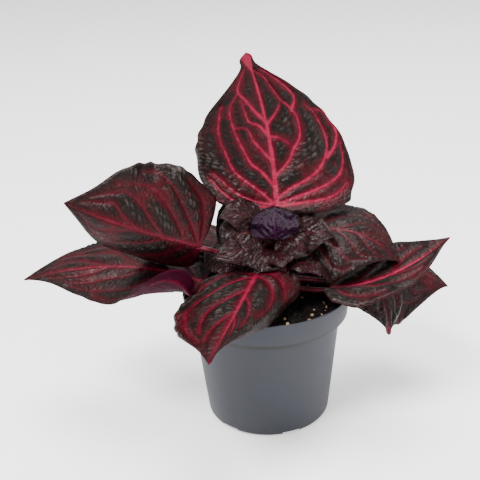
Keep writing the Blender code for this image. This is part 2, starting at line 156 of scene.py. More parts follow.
# Colours and finishes that aren't settings
SHEEN_TINT = (1.0, 0.86, 0.85, 1.0)
STALK_RED = (0.13, 0.005, 0.018)
DUST = (0.034, 0.031, 0.030)
# Painted shade for the groove under the pot's band
GROOVE_SHADE = (0.0035, 0.0035, 0.0050)
# Painted shade for the hollows of the peat
PEAT_HOLLOW_SHADE = (0.004, 0.003, 0.003)
CHIP_TAN = (0.26, 0.17, 0.09)
YOUNG_RIB = (0.10, 0.003, 0.03)
SATIN = {"gloss": 0.36, "coat": 0.0, "net_scale": 420.0, "relief": 0.35}
PLUM = {
    "olive": (0.020, 0.003, 0.026), "wash": (0.022, 0.001, 0.020), "vein": (0.120, 0.006, 0.110),
    "gloss": 0.18, "coat": 0.30, "net_scale": 1100.0, "relief": 2.2,
}
# Nearly black finish of the crown leaves and of the young leaves but the purple one: partly their
# own dark colour, partly painted deep shade in the crown
NEARLY_BLACK = {
    "blade": (0.006, 0.002, 0.0022), "olive": (0.015, 0.008, 0.008),
    "wash": (0.016, 0.001, 0.002), "vein": (0.090, 0.003, 0.013),
    "gloss": 0.20, "coat": 0.10, "net_scale": 1000.0, "relief": 1.6,
}

# Stage, in metres
CAMERA_PLACE = (-0.0128, -0.3701, 0.2526)
AIM = (0.0, 0.0, 0.09)
AIR_STRENGTH = 1.05
FLOOR_GLOW = 0.6
FLOOR_REACH = 6.0
FLOOR_DROP = 0.00005

# Lights: name, place, size across and watts
LIGHTS = (
    ("key", (-0.45, -0.50, 1.10), 0.40, 22.0),
    ("top", (0.20, 0.30, 2.20), 1.2, 60.0),
    ("fill", (0.9, -0.65, 0.55), 0.5, 6.0),
)

# Half of a flat blade: distance along the midrib and out from it, as shares of the blade's
# length and half width. It starts at the leaf's base and ends at its tip. The margin begins at
# the lobe's point.
BLADE_OUTLINE = (
    (0.00, 0.00), (-0.055, 0.24), (-0.05, 0.54), (0.04, 0.83), (0.25, 1.00),
    (0.50, 0.90), (0.71, 0.60), (0.855, 0.27), (0.935, 0.115), (1.00, 0.00),
)
LOBE_POINT = 3

# The small leaves of the crown and the purple young leaf have blunt ends
BLUNT_OUTLINE = BLADE_OUTLINE[:4] + ((0.22, 1.00), (0.46, 1.03), (0.67, 0.92), (0.84, 0.66),
                                     (0.95, 0.33), (1.00, 0.00))

# The tall leaf and the lowest one on the right end in a thick horn
HORN_OUTLINE = BLADE_OUTLINE[:7] + ((0.84, 0.30), (0.90, 0.155), (0.935, 0.10), (0.975, 0.088),
                                    (1.00, 0.00))

# Some leaves end in a narrow tail
TAIL_OUTLINE = BLADE_OUTLINE[:7] + ((0.83, 0.33), (0.90, 0.17), (0.95, 0.075), (1.00, 0.00))

# Side veins of a half blade, from the midrib outwards, in hundredths of its length and half
# width: the common ones, a sparser set, and those drawn for the front leaf and the tall leaf
COMMON_VEINS = (
    ((0, 0), (0, 29), (4, 55), (11, 76), (22, 87)),
    ((2, 0), (10, 28), (20, 56), (33, 75), (47, 76), (58, 66)),
    ((12, 0), (22, 21), (34, 42), (47, 55), (60, 52), (71, 40)),
    ((29, 0), (40, 16), (52, 30), (64, 35), (75, 29), (84, 17)),
    ((50, 0), (60, 10), (70, 18), (80, 17), (89, 8)),
)
SPARSE_VEINS = (
    ((1, 0), (6, 25), (14, 50), (26, 66), (38, 70)),
    ((18, 0), (28, 22), (40, 42), (55, 50), (68, 42)),
    ((45, 0), (55, 14), (67, 24), (79, 20)),
)
FRONT_LEFT_VEINS = (
    ((0, 0), (0, 25), (6, 50), (14, 66)),
    ((4, 0), (10, 22), (19, 42), (33, 52), (47, 50)),
    ((30, 0), (40, 18), (52, 30), (64, 32)),
    ((55, 0), (63, 12), (73, 20), (82, 18)),
)
FRONT_RIGHT_VEINS = (
    ((0, 0), (-1, 30), (4, 58), (14, 78)),
    ((3, 0), (12, 30), (26, 58), (42, 72), (56, 66), (68, 50), (80, 28)),
    ((22, 0), (33, 22), (45, 38), (58, 42), (70, 34)),
    ((48, 0), (57, 14), (68, 22), (79, 20)),
)
TALL_LEFT_VEINS = (
    ((0, 0), (1, 30), (5, 55), (12, 75), (22, 84)),
    ((1, 5), (4, 29), (9, 48), (14, 62), (19, 71), (27, 80)),
    ((3, 3), (10, 23), (18, 41), (27, 53), (38, 58), (50, 59), (60, 55), (73, 45)),
    ((13, 0), (23, 16), (30, 27), (40, 35), (49, 38), (57, 40), (64, 39), (73, 34), (77, 22)),
    ((28, 0), (37, 11), (45, 19), (52, 24), (56, 36)),
    ((46, 0), (53, 10), (58, 19), (65, 22), (72, 22)),
    ((54, 0), (63, 11), (72, 18), (78, 22), (85, 17), (91, 7)),
)
TALL_RIGHT_VEINS = (
    ((0, 2), (3, 32), (5, 57), (8, 74), (14, 85)),
    ((1, 0), (7, 25), (12, 54), (18, 78), (26, 88), (35, 93)),
    ((6, 0), (11, 19), (17, 40), (22, 56), (29, 68), (36, 74), (46, 75), (53, 71), (59, 64)),
    ((30, 69), (34, 83), (42, 91), (51, 86), (56, 70)),
    ((21, 0), (28, 18), (36, 29), (44, 42), (52, 46), (60, 41), (66, 31), (73, 25), (80, 17),
     (88, 4)),
    ((53, 0), (60, 14), (65, 29)),
    ((45, 0), (44, 14), (38, 30)),
    ((60, 41), (65, 52), (72, 46), (80, 30), (88, 14)),
)


def leaf(base, bow, tip, width, facing, left, right=None, **more):
    """One leaf.

    base, bow, tip: control points of the midrib's curve.
    facing: directions that the upper side faces at the base and at the tip.
    left, right: in each half, its fold at the base and tip, then its curl at the base and tip,
    in degrees, or one fold and one curl where base and tip are alike. A fold or curl above 0
    raises the margin. The right half is like the left one where it isn't given.
    narrow: share by which each half is narrower towards the tip.
    lobes: share of the length by which each basal lobe reaches further back.
    wave: height, count and phase of the waves along the margin.
    node: height on the stem where the petiole leaves it.
    power: how early along the leaf the fold and curl change.
    trim: width of each half beside its solid's.
    outline: half of the flat blade.
    veins: tables of the side veins of the left and right half.
    """
    left, right = (half if len(half) == 4 else (half[0], half[0], half[1], half[1])
                   for half in (left, right or left))
    return dict(dict(base=base, bow=bow, tip=tip, width=width, facing=facing, left=left,
                     right=right, narrow=(0.0, 0.0), lobes=(0.0, 0.0), wave=(1.4, 2.2, 0.0),
                     node=90.0, petiole=1.0, power=0.6, trim=(1.0, 1.0), outline=BLADE_OUTLINE,
                     veins=(COMMON_VEINS, COMMON_VEINS)), **more)


LEAVES = {
    "leaf_tall": leaf(
        (7, 8, 115), (8, 34, 151), (-6, 22, 194), 87, ((0, -1, 0.4), (0.1, -1, 0.1)),
        (12, -35), (12, -30), narrow=(-0.42, 0.50), wave=(1.5, 2.2, 0.1),
        node=104.5, veins=(TALL_LEFT_VEINS, TALL_RIGHT_VEINS),
        trim=(0.84, 1.14), outline=HORN_OUTLINE),
    "leaf_left_upper": leaf(
        (-33, -14, 104), (-68, -32, 122), (-96, -28, 135), 74, ((0.1, -0.7, 0.7), (0, -0.6, 0.7)),
        (-50, -95), (12, -20), narrow=(0.36, -0.46), lobes=(0, 0.18),
        wave=(1.6, 2.2, 0.3), node=92, trim=(1.09, 0.98)),
    "leaf_left_lower": leaf(
        (-34, -8, 82), (-76, 4, 95), (-131, 5, 80.5), 64, ((0, 0, 1), (0, -0.05, 1)),
        (-45, -35, 170, -40), (14, -20), narrow=(0.6, -0.35), wave=(1.2, 2.0, 0.0),
        node=78.5, power=0.7, trim=(1.33, 0.98)),
    "leaf_front": leaf(
        (-5, -22, 91), (-19, -72, 90), (-28, -98, 86), 66, ((0, 0, 1), (-0.2, 0, 1)),
        (15, 0, -70, -290), (0, -25), narrow=(0.85, -0.1), lobes=(0.1, 0),
        wave=(1.6, 2.2, 0.0), node=85,
        veins=(FRONT_LEFT_VEINS, FRONT_RIGHT_VEINS), trim=(1.0, 1.07)),
    "leaf_right_front": leaf(
        (33, -16, 79), (62, -24, 81), (95, -10, 102), 47, ((-0.1, -0.05, 1), (-0.3, -0.2, 1)),
        (5, 12, -10, -10), (20, 5, -25, -25), narrow=(-0.4, 0.4), wave=(1.6, 2.2, 0.0),
        node=73.8, veins=(SPARSE_VEINS, SPARSE_VEINS), outline=TAIL_OUTLINE),
    "leaf_right_upper": leaf(
        (22, 1, 102), (47, -2, 113), (69, -14, 91), 62, ((0, -0.2, 1), (0.7, -0.4, 1)),
        (10, -25), (-15, -40), wave=(1.2, 2.2, 0.0), node=94,
        trim=(0.86, 1.0)),
    "leaf_right_low": leaf(
        (48, -4, 77.5), (64, -6, 79), (63, -24, 54), 46, ((0, 0, 1), (0.8, -0.6, 0.5)),
        (0, -20), (5, 0, -15, -15), narrow=(0.3, 0.0), wave=(1.0, 2.2, 0.0), node=77.4,
        veins=(SPARSE_VEINS, SPARSE_VEINS), outline=HORN_OUTLINE),
    "leaf_right_outer": leaf(
        (55, 22, 75), (80, 24, 80), (105, 20, 59), 66, ((0, 0, 1), (0.5, -0.1, 1)),
        (0, -30), (-25, -35), narrow=(0.2, -0.25), wave=(1.2, 2.2, 0.0),
        node=81, outline=TAIL_OUTLINE, trim=(1.0, 1.15)),
    "leaf_rear_left": leaf(
        (-24, 18, 92), (-46, 34, 98), (-64, 48, 88), 38, ((0, 0, 1), (-0.3, 0.2, 1)),
        (5, -25), node=85),
    "leaf_rear_low": leaf(
        (6, 24, 95), (8, 50, 101), (6, 78, 85), 44, ((0, 0, 1), (0, 0.4, 1)),
        (5, -25), node=90),
    "leaf_rear_right": leaf(
        (30, 18, 88), (52, 32, 92), (70, 44, 80), 38, ((0, 0, 1), (0.3, 0.3, 1)),
        (5, -25), node=86),
}

YOUNG_LEAVES = {
    "young_leaf_front": leaf(
        (5, -9.5, 103.5), (5, -13.5, 113), (5, -13, 123), 25, ((0, -1, 0.4), (0, -1, 0.2)),
        (10, -40), node=102),
    "young_leaf_left_upper": leaf(
        (-4.5, -3, 113.5), (-13, -5.5, 120), (-23, -6.5, 116), 21,
        ((0, -1, 0.8), (-0.2, -1, 1)),
        (10, -50), node=104.5),
    "young_leaf_left_lower": leaf(
        (-6.5, -13.5, 101.5), (-15, -19.5, 104), (-27, -22.5, 100.5), 18,
        ((0, -1, 1), (-0.2, -0.8, 1)),
        (10, -40), node=99),
    "young_leaf_middle": leaf(
        (6.5, -11, 99), (6.5, -18, 101), (8, -27, 96), 20, ((0, -0.3, 1), (0, -1, 0.6)),
        (5, -40), node=97),
    "young_leaf_right": leaf(
        (17, -7, 105), (25, -12, 111), (35, -14, 106), 24, ((0, -0.8, 1), (0.3, -0.8, 1)),
        (10, -50), node=101),
    "young_leaf_low": leaf(
        (15, -15, 94), (20.5, -24.5, 97.5), (26, -33, 93.5), 17,
        ((0.1, -0.3, 1), (0.3, -0.6, 1)),
        (10, -40), node=94.5),
    "young_leaf_side": leaf(
        (-8, -3, 88), (-17, -6, 90), (-26, -8, 87), 17, ((0, 0.1, 1), (-0.2, 0, 1)),
        (5, -25), node=88),
}

# The young leaf that is purple, the others being nearly black, partly as painted shade
PLUM_LEAF = "young_leaf_front"

# Small leaves that fill the crown between the leaves above, nearly black partly as painted shade
CROWN_LEAVES = {
    "crown_leaf_left": leaf(
        (-2, -5, 107), (-11, -11, 111), (-22, -12, 104), 27, ((0, -0.8, 1), (-0.2, -0.8, 0.8)),
        (10, -45), (10, -40), node=104),
    "crown_leaf_right": leaf(
        (9, -6, 105), (16, -13, 107), (22, -17, 98), 24, ((0, -0.7, 1), (0.3, -0.9, 0.6)),
        (10, -40), (10, -45), node=103),
    "crown_leaf_top": leaf(
        (9, 6, 101), (16, 8, 107), (24, 10, 108), 30, ((0, -1, 0.5), (0, -1, 0.6)),
        (12, -35), node=100),
    "crown_leaf_dome": leaf(
        (5, -5, 103), (5, -9, 114), (5, -8, 122), 27, ((0, -1, 0.4), (0, -1, 0.5)),
        (8, -30), node=103),
    "crown_leaf_heart": leaf(
        (3, -4, 93), (2, -8, 98), (1, -11, 106), 18, ((0, -1, 0.4), (0, -1, 0.5)),
        (8, -30), node=92),
    "crown_leaf_side": leaf(
        (-9, 0, 93), (-20, -1, 97), (-31, -4, 87), 28, ((0, -0.4, 1), (-0.3, -0.5, 0.8)),
        (8, -35), node=91),
    "crown_leaf_low": leaf(
        (1, -9, 99), (-1, -17, 102), (-3, -24, 93), 26, ((0, -0.5, 1), (0, -1, 0.5)),
        (8, -40), node=96),
    "crown_leaf_rear_left": leaf(
        (-1, 9, 97), (-12, 13, 107), (-24, 15, 112), 36, ((0, -1, 0.6), (0, -1, 0.6)),
        (10, -30), node=92),
    "crown_leaf_rear_right": leaf(
        (9, 9, 96), (19, 12, 103), (31, 13, 104), 38, ((0, -1, 0.6), (0, -1, 0.6)),
        (10, -30), node=92),
}


# Settings

def size_setting(name, description, millimetres):
    return bpy.props.FloatProperty(name=name, description=description, default=millimetres * MM,
                                   unit="LENGTH", subtype="DISTANCE")


def angle_setting(name, description, degrees):
    return bpy.props.FloatProperty(name=name, description=description,
                                   default=math.radians(degrees), unit="ROTATION",
                                   subtype="ANGLE")


def colour_setting(name, description, default):
    return bpy.props.FloatVectorProperty(name=name, description=description, default=default,
                                         size=3, subtype="COLOR", min=0, max=1)


class PotSettings(bpy.types.PropertyGroup):
    sides: bpy.props.IntProperty(
        name="Sides", description="Facets round the pot", default=144, min=24, max=400)
    wall: size_setting("Wall", "Thickness of the pot's wall", 1.1)
    plastic: colour_setting("Plastic", "Colour of the moulded plastic", (0.0135, 0.0150, 0.0228))


class SoilSettings(bpy.types.PropertyGroup):
    density: bpy.props.FloatProperty(
        name="Grains", description="Soil grains on a square metre", default=900000.0)
    chips: bpy.props.FloatProperty(
        name="Chips", description="Pale chips on a square metre", default=20000.0)
    grain: size_setting("Grain size", "Radius of a common soil grain", 0.8)
    peat: colour_setting("Peat", "Colour of the dark peat", (0.0035, 0.0023, 0.0017))


class LeafSettings(bpy.types.PropertyGroup):
    spacing: size_setting("Spacing", "Distance between mesh lines on a blade", 0.85)
    thickness: size_setting("Thickness", "Thickness of a blade", 0.55)
    quilting: size_setting("Quilting", "Height of the blade between its side veins", 1.5)
    blade: colour_setting("Blade", "Colour of the blade between its veins",
                          (0.0055, 0.0036, 0.0033))
    olive: colour_setting("Olive", "Greyer green that clouds the blade", (0.072, 0.060, 0.052))
    wash: colour_setting("Wash", "Deep red that spreads from the veins", (0.048, 0.0012, 0.005))
    vein: colour_setting("Veins", "Crimson of the veins", (0.190, 0.0035, 0.026))
    under: colour_setting("Underside", "Colour of the underside", (0.030, 0.0008, 0.009))
    young: colour_setting("Young blade", "Purple of the youngest leaf", (0.012, 0.002, 0.012))


class StageSettings(bpy.types.PropertyGroup):
    lens: bpy.props.FloatProperty(
        name="Lens", description="Focal length of the camera, in millimetres", default=57.0)
    elevation: angle_setting("Elevation", "Height of the view above the horizon", 22.3)
    roll: angle_setting("Roll", "Tilt of the camera round its view line", -2.3)
    floor: colour_setting("Floor", "Colour of the floor", (0.92, 0.92, 0.92))


# Node trees

def socket(sockets, key):
    """Shown socket by its name, or by its place for the letters a, b and c."""
    shown = [item for item in sockets if item.enabled]
    for item in shown:
        if item.name.lower() == key.replace("_", " ").lower():
            return item
    return shown["abc".index(key)]


def first_output(node):
    return next(item for item in node.outputs if item.enabled)


def fed(tree, node, **inputs):
    """Feeds a node's inputs. Each takes a value, a socket, or another node's first output."""
    for key, value in inputs.items():
        target = socket(node.inputs, key)
        if isinstance(value, bpy.types.Node):
            value = first_output(value)
        if isinstance(value, bpy.types.NodeSocket):
            tree.links.new(value, target)
        else:
            target.default_value = value
    return node


def put(tree, kind, settings=None, **inputs):
    """Adds a node with its settings, and feeds its inputs."""
    made = tree.nodes.new(kind)
    for key, value in (settings or {}).items():
        setattr(made, key, value)
    return fed(tree, made, **inputs)


def maths(tree, operation, a, b):
    return put(tree, "ShaderNodeMath", {"operation": operation}, a=a, b=b)


def times(tree, a, b):
    return maths(tree, "MULTIPLY", a, b)


def plus(tree, a, b):
    return maths(tree, "ADD", a, b)


def swayed(tree, value, grain, size):
    """The value, moved up and down by a grain that runs from 0 to 1."""
    return plus(tree, value, times(tree, maths(tree, "SUBTRACT", grain, 0.5), size))


def mixed(tree, factor, a, b):
    """Colour between a and b."""
    a, b = ((*c, 1.0) if isinstance(c, (tuple, list)) and len(c) == 3 else c for c in (a, b))
    return put(tree, "ShaderNodeMix", {"data_type": "RGBA"}, factor=factor, a=a, b=b)


def faded(tree, value, low, high, start=0.0, end=1.0):
    """Smooth step from start at low to end at high."""
    return put(tree, "ShaderNodeMapRange", {"interpolation_type": "SMOOTHSTEP"},
               value=value, from_min=low, from_max=high, to_min=start, to_max=end)


def grained(tree, where, scale, detail=4.0, roughness=0.55):
    return put(tree, "ShaderNodeTexNoise", vector=where, scale=scale, detail=detail,
               roughness=roughness)


def group_tree(name, kind, inputs, outputs):
    """Empty node group: the tree, its input node and its output node. Each input has a label,
    the type of its socket and a default, each output a label and the type."""
    tree = bpy.data.node_groups.new(name, kind)
    for label, typed, default in inputs:
        made = tree.interface.new_socket(name=label, in_out="INPUT",
                                         socket_type="NodeSocket" + typed)
        if default is not None:
            made.default_value = default
    for label, typed in outputs:
        tree.interface.new_socket(name=label, in_out="OUTPUT", socket_type="NodeSocket" + typed)
    return tree, tree.nodes.new("NodeGroupInput"), tree.nodes.new("NodeGroupOutput")


def new_material(name):
    """Material with its tree, its Principled shader and its object coordinates."""
    material = bpy.data.materials.new(name)
    material.use_nodes = True
    tree = material.node_tree
    place = tree.nodes.new("ShaderNodeTexCoord").outputs["Object"]
    return material, tree, tree.nodes["Principled BSDF"], place


def dressed(tree, shader, base, grain, rough, height, strength, distance, **values):
    """Gives a shader its base colour, a roughness between two values that follows a grain, a
    relief made from a height, and any plain values."""
    relief = put(tree, "ShaderNodeBump", height=height, strength=strength, distance=distance)
    fed(tree, shader, base_color=base, roughness=faded(tree, grain, 0.3, 0.7, *rough),
        normal=relief, **values)


def scaled(colour, size, lift=0.0):
    return tuple(min(1.0, value * size + lift) for value in colour)


def between(start, end, share):
    return tuple(blend(a, b, share) for a, b in zip(start, end))


# Small mesh tools

def unit(vectors):
    vectors = np.asarray(vectors, float)
    return vectors / np.linalg.norm(vectors, axis=-1, keepdims=True)


def blend(start, end, share):
    return start + (end - start) * share


def mesh_object(name, points, faces, materials, slots=None):
    """Smooth mesh object from points in millimetres, with a material slot for each face."""
    mesh = bpy.data.meshes.new(name)
    mesh.from_pydata((np.asarray(points) * MM).tolist(), [], faces)
    for material in materials:
        mesh.materials.append(material)
    if slots is not None:
        mesh.polygons.foreach_set("material_index", np.asarray(slots, np.int32))
    mesh.shade_smooth()
    item = bpy.data.objects.new(name, mesh)
    bpy.context.scene.collection.objects.link(item)
    return item


def attribute(item, name, values):
    item.data.attributes.new(name, "FLOAT", "POINT").data.foreach_set(
        "value", np.asarray(values, np.float32))


def seated(item, slot, *nodes):
    """Rides on the plant's body and stands for the nodes, which it hides. The slot is not used."""
    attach(item, BODY)
    if nodes:
        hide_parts(*nodes)
    return item


def baked(item):
    """Gives the object the plain mesh that its modifiers make."""
    graph = bpy.context.evaluated_depsgraph_get()
    made = bpy.data.meshes.new_from_object(item.evaluated_get(graph))
    before = item.data
    item.modifiers.clear()
    item.data = made
    bpy.data.meshes.remove(before)
    made.name = item.name


def from_nodes(item, tree, values):
    """Runs a Geometry Nodes tree on the object and keeps the plain mesh that comes out."""
    modifier = item.modifiers.new(tree.name, "NODES")
    modifier.node_group = tree
    for entry in tree.interface.items_tree:
        if entry.item_type == "SOCKET" and entry.in_out == "INPUT" and entry.name in values:
            modifier[entry.identifier] = values[entry.name]
    baked(item)
    return item


def ring_quad(low, sides, k):
    """Face k of the strip between a ring of points, whose first number is low, and the next."""
    after = (k + 1) % sides
    return low + k, low + after, low + sides + after, low + sides + k


def tube(path, radii, sides, first=0):
    """Points and faces of a closed round rod along the path. The faces count its points from
    the first number on."""
    path = np.asarray(path, float)
    heading = unit(np.gradient(path, axis=0))
    side = unit(np.cross(heading[0], (0.31, 0.22, 0.93)))
    angles = 2 * np.pi * np.arange(sides) / sides
    points = []
    for centre, ahead, radius in zip(path, heading, radii):
        side = unit(side - ahead * np.dot(side, ahead))
        other = np.cross(ahead, side)
        points.append(centre + radius * (np.cos(angles)[:, None] * side
                                         + np.sin(angles)[:, None] * other))
    faces = [ring_quad(first + ring * sides, sides, k)
             for ring in range(len(path) - 1) for k in range(sides)]
    faces.append(tuple(first + k for k in reversed(range(sides))))
    end = first + (len(path) - 1) * sides
    faces.append(tuple(range(end, end + sides)))
    return np.concatenate(points), faces


def smooth_line(points, per_span):
    """Curve through all the points."""
    knots = np.asarray(points, float)
    knots = np.vstack([2 * knots[0] - knots[1], knots, 2 * knots[-1] - knots[-2]])
    line = []
    for k in range(len(knots) - 3):
        before, start, end, after = knots[k:k + 4]
        for step in range(per_span):
            t = step / per_span
            line.append(0.5 * (2 * start + (end - before) * t
                               + (2 * before - 5 * start + 4 * end - after) * t * t
                               + (3 * start - before - 3 * end + after) * t ** 3))
    line.append(knots[-2])
    return np.array(line)


def bowed(start, middle, end, t):
    """Points of a curve from start to end that bows towards the middle point."""
    return (1 - t) ** 2 * start + 2 * t * (1 - t) * middle + t * t * end


# Leaf shapes, as the solids have them

def side_rows(outline, length, half, rows):
    """Lines of the flat half blade that run as its side veins do: where each starts on the
    midrib, the point that bends it and where it ends on the margin."""
    line = smooth_line(outline, OUTLINE_STEPS) * (length, half)
    margin = line[LOBE_POINT * OUTLINE_STEPS:]
    steps = np.hypot(*np.diff(margin, axis=0).T)
    along = np.concatenate([[0], np.cumsum(steps)]) / steps.sum()
    share = np.arange(rows + 1) / rows
    ends = np.stack([np.interp(share, along, margin[:, k]) for k in (0, 1)], axis=1)
    starts = np.stack([length * share ** 1.45, np.zeros(rows + 1)], axis=1)
    lean = np.radians(118 - 84 * share ** 0.8)
    reach = 0.52 * np.hypot(*(ends - starts).T)
    bends = starts + reach[:, None] * np.stack([np.cos(lean), np.sin(lean)], axis=1)
    return starts, bends, ends


class Midrib:
    """The curve of a leaf's midrib, with a frame along it: ahead, across and up."""

    def __init__(self, spec):
        base, bow, tip = (np.array(spec[key], float) for key in ("base", "bow", "tip"))
        t = np.linspace(0, 1, MIDRIB_STEPS + 1)[:, None]
        self.points = bowed(base, bow, tip, t)
        self.ahead = unit((1 - t) * (bow - base) + t * (tip - bow))
        strides = np.linalg.norm(np.diff(self.points, axis=0), axis=1)
        self.run = np.concatenate([[0], np.cumsum(strides)])
        self.length = self.run[-1]
        first, last = (unit(direction) for direction in spec["facing"])
        up = blend(first, last, (self.run / self.length)[:, None])
        self.up = unit(up - self.ahead * np.sum(up * self.ahead, axis=1, keepdims=True))
        self.across = np.cross(self.ahead, self.up)

    def at(self, distance):
        """Point and frame at distances along the midrib; before its start it runs straight."""
        inside = np.clip(distance, 0, self.length)
        found = []
        for values in (self.points, self.ahead, self.across, self.up):
            found.append(np.stack([np.interp(inside, self.run, values[:, k]) for k in range(3)],
                                  axis=-1))
        point, ahead, across, up = found
        return point + ahead * (distance - inside)[..., None], ahead, across, up


def bent_half(width, half, fold, curl):
    """Distances across and up, at a width out from the midrib, of a half blade that leaves
    the midrib at the fold angle and turns further by the curl angle at its full width."""
    share = (np.arange(BEND_STEPS) + 0.5) / BEND_STEPS
    out = width[..., None] * share
    turn = np.radians(fold[..., None] + curl[..., None] * out / half)
    return np.cos(turn).mean(axis=-1) * width, np.sin(turn).mean(axis=-1) * width


def stem_at(height):
    """Centre and radius of the stem at a height."""
    foot, top = np.array(STEM_FOOT), np.array(STEM_TOP)
    share = (height - foot[2]) / (top[2] - foot[2])
    centre = blend(foot, top, share)
    radius = blend(STEM_RADIUS, STEM_TOP_RADIUS, share)
    for node in STEM_NODES:
        radius += NODE_SWELL * math.exp(-((height - node) / NODE_SPREAD) ** 2)
    return centre, radius


# Veins

def vein_lines(table, rng, sway):
    """The side veins of one half, as smooth lines in shares of the blade, each a little moved."""
    lines = []
    for knots in table:
        knots = np.array(knots) / 100
        drift = rng.normal(0, sway, knots.shape)
        drift[0, 1] = 0.0
        lines.append(smooth_line(knots + drift, 8))
    return lines


def tapered(line, wide, thin, size):
    """A vein as pieces: start, end and the half width at each, in millimetres."""
    line = line * size
    widths = blend(wide, thin, np.linspace(0, 1, len(line)))
    return [(line[k], line[k + 1], widths[k], widths[k + 1]) for k in range(len(line) - 1)]


def cross_links(lines, size, rng, net, step):
    """Thin veins that run from each side vein to the next one."""
    pieces = []
    for lower, upper in zip(lines, lines[1:]):
        length = np.sum(np.hypot(*np.diff(lower * size, axis=0).T))
        count = max(2, int(length / step))
        for t in (np.arange(count) + rng.uniform(0.3, 0.7, count)) / count:
            start = lower[int(t * (len(lower) - 1))]
            gaps = np.hypot(*((upper - start) * size).T)
            end = upper[int(np.argmin(gaps))]
            if not 1.5 < gaps.min() < 0.3 * size[1] or rng.uniform() > 0.35 + 0.65 * net:
                continue
            middle = (start + end) / 2 + rng.normal(0, 1.3, 2) / size
            bent = smooth_line([start, middle, end], 3)
            pieces += tapered(bent, LINK_WIDTH, LINK_WIDTH * 0.6, size)
            if gaps.min() > 7 and rng.uniform() < 0.6:
                side = middle + rng.normal(0, 0.4, 2) / size + np.array((2.8, 0)) / size
                pieces += tapered(np.array([middle, side]), LINK_WIDTH * 0.8, LINK_WIDTH * 0.5,
                                  size)
    return pieces


def margin_net(lines, size, rng):
    """Small arches between the side veins' ends and the margin."""
    outline = smooth_line(BLADE_OUTLINE, 8)
    ends = []
    for share in np.linspace(0.16, 0.93, 15):
        point = outline[int(share * (len(outline) - 1))]
        inner = point * (0.0, 1.0) + (point[0] - 0.01, 0)
        inner[1] *= 0.9
        ends.append(inner + rng.normal(0, 0.6, 2) / size)
    pieces = tapered(np.array(ends), NET_WIDTH, NET_WIDTH, size)
    every = np.concatenate(lines)
    for point in ends:
        gaps = np.hypot(*((every - point) * size).T)
        near = every[int(np.argmin(gaps))]
        if gaps.min() > 1.0:
            middle = (near + point) / 2 + rng.normal(0, 0.6, 2) / size
            arch = np.array([near, middle, point])
            pieces += tapered(arch, NET_WIDTH * 1.3, NET_WIDTH, size)
    return pieces


def on_midrib(*shares):
    return np.array([(share, 0.0) for share in shares])


def gap_to(points, pieces):
    """Distance of flat points from the nearest vein's edge; inside a vein it is below 0."""
    nearest = np.full(len(points), 99.0)
    for start, end, wide, thin in pieces:
        run = end - start
        t = np.clip(((points - start) @ run) / max(run @ run, 1e-9), 0, 1)
        gap = np.hypot(*(points - start - t[:, None] * run).T) - blend(wide, thin, t)
        np.minimum(nearest, gap, out=nearest)
    return nearest


def cell_domes(points, size, rng):
    """Height, from 0 to 1, of small uneven domes that cover the flat blade."""
    cells = np.floor(points / size).astype(int)
    low = cells.min(axis=0) - 1
    seeds = rng.uniform(0.15, 0.85, (*(cells.max(axis=0) - low + 2), 2))
    nearest = np.full(len(points), 9.0)
    second = np.full(len(points), 9.0)
    for i in (-1, 0, 1):
        for j in (-1, 0, 1):
            cell = cells + (i, j)
            centre = cell + seeds[cell[:, 0] - low[0], cell[:, 1] - low[1]]
            gap = np.hypot(*(points / size - centre).T)
            second = np.minimum(second, np.maximum(nearest, gap))
            nearest = np.minimum(nearest, gap)
    return np.clip((second - nearest) * 1.6, 0, 1) ** 0.6


def on_midrib(*shares):
    return np.array([(share, 0.0) for share in shares])


class FlatHalf:
    """Points of one flat half of a blade, row by row: their distance along the midrib and out
    from it, from the rim, and their share of the blade's length."""

    def __init__(self, spec, length, spacing):
        self.length = length
        self.width = spec["width"] / 2
        self.rows = max(FEWEST_ROWS, int(length * SLANT / spacing))
        self.columns = max(FEWEST_COLUMNS, int(self.width / spacing))
        self.stops = np.linspace(0, 1, self.columns + 1)
        self.down = (np.arange(self.rows + 1) / self.rows)[:, None]
        starts, bends, ends = side_rows(spec["outline"], length, self.width, self.rows)
        flat = bowed(starts[:, None], bends[:, None], ends[:, None], self.stops[None, :, None])
        self.along, self.out = flat[..., 0], flat[..., 1]
        self.share = np.clip(self.along / length, 0, 1)
        self.rim = np.minimum((1 - self.stops) * np.hypot(*(ends - starts).T)[:, None],
                              self.down * 60)


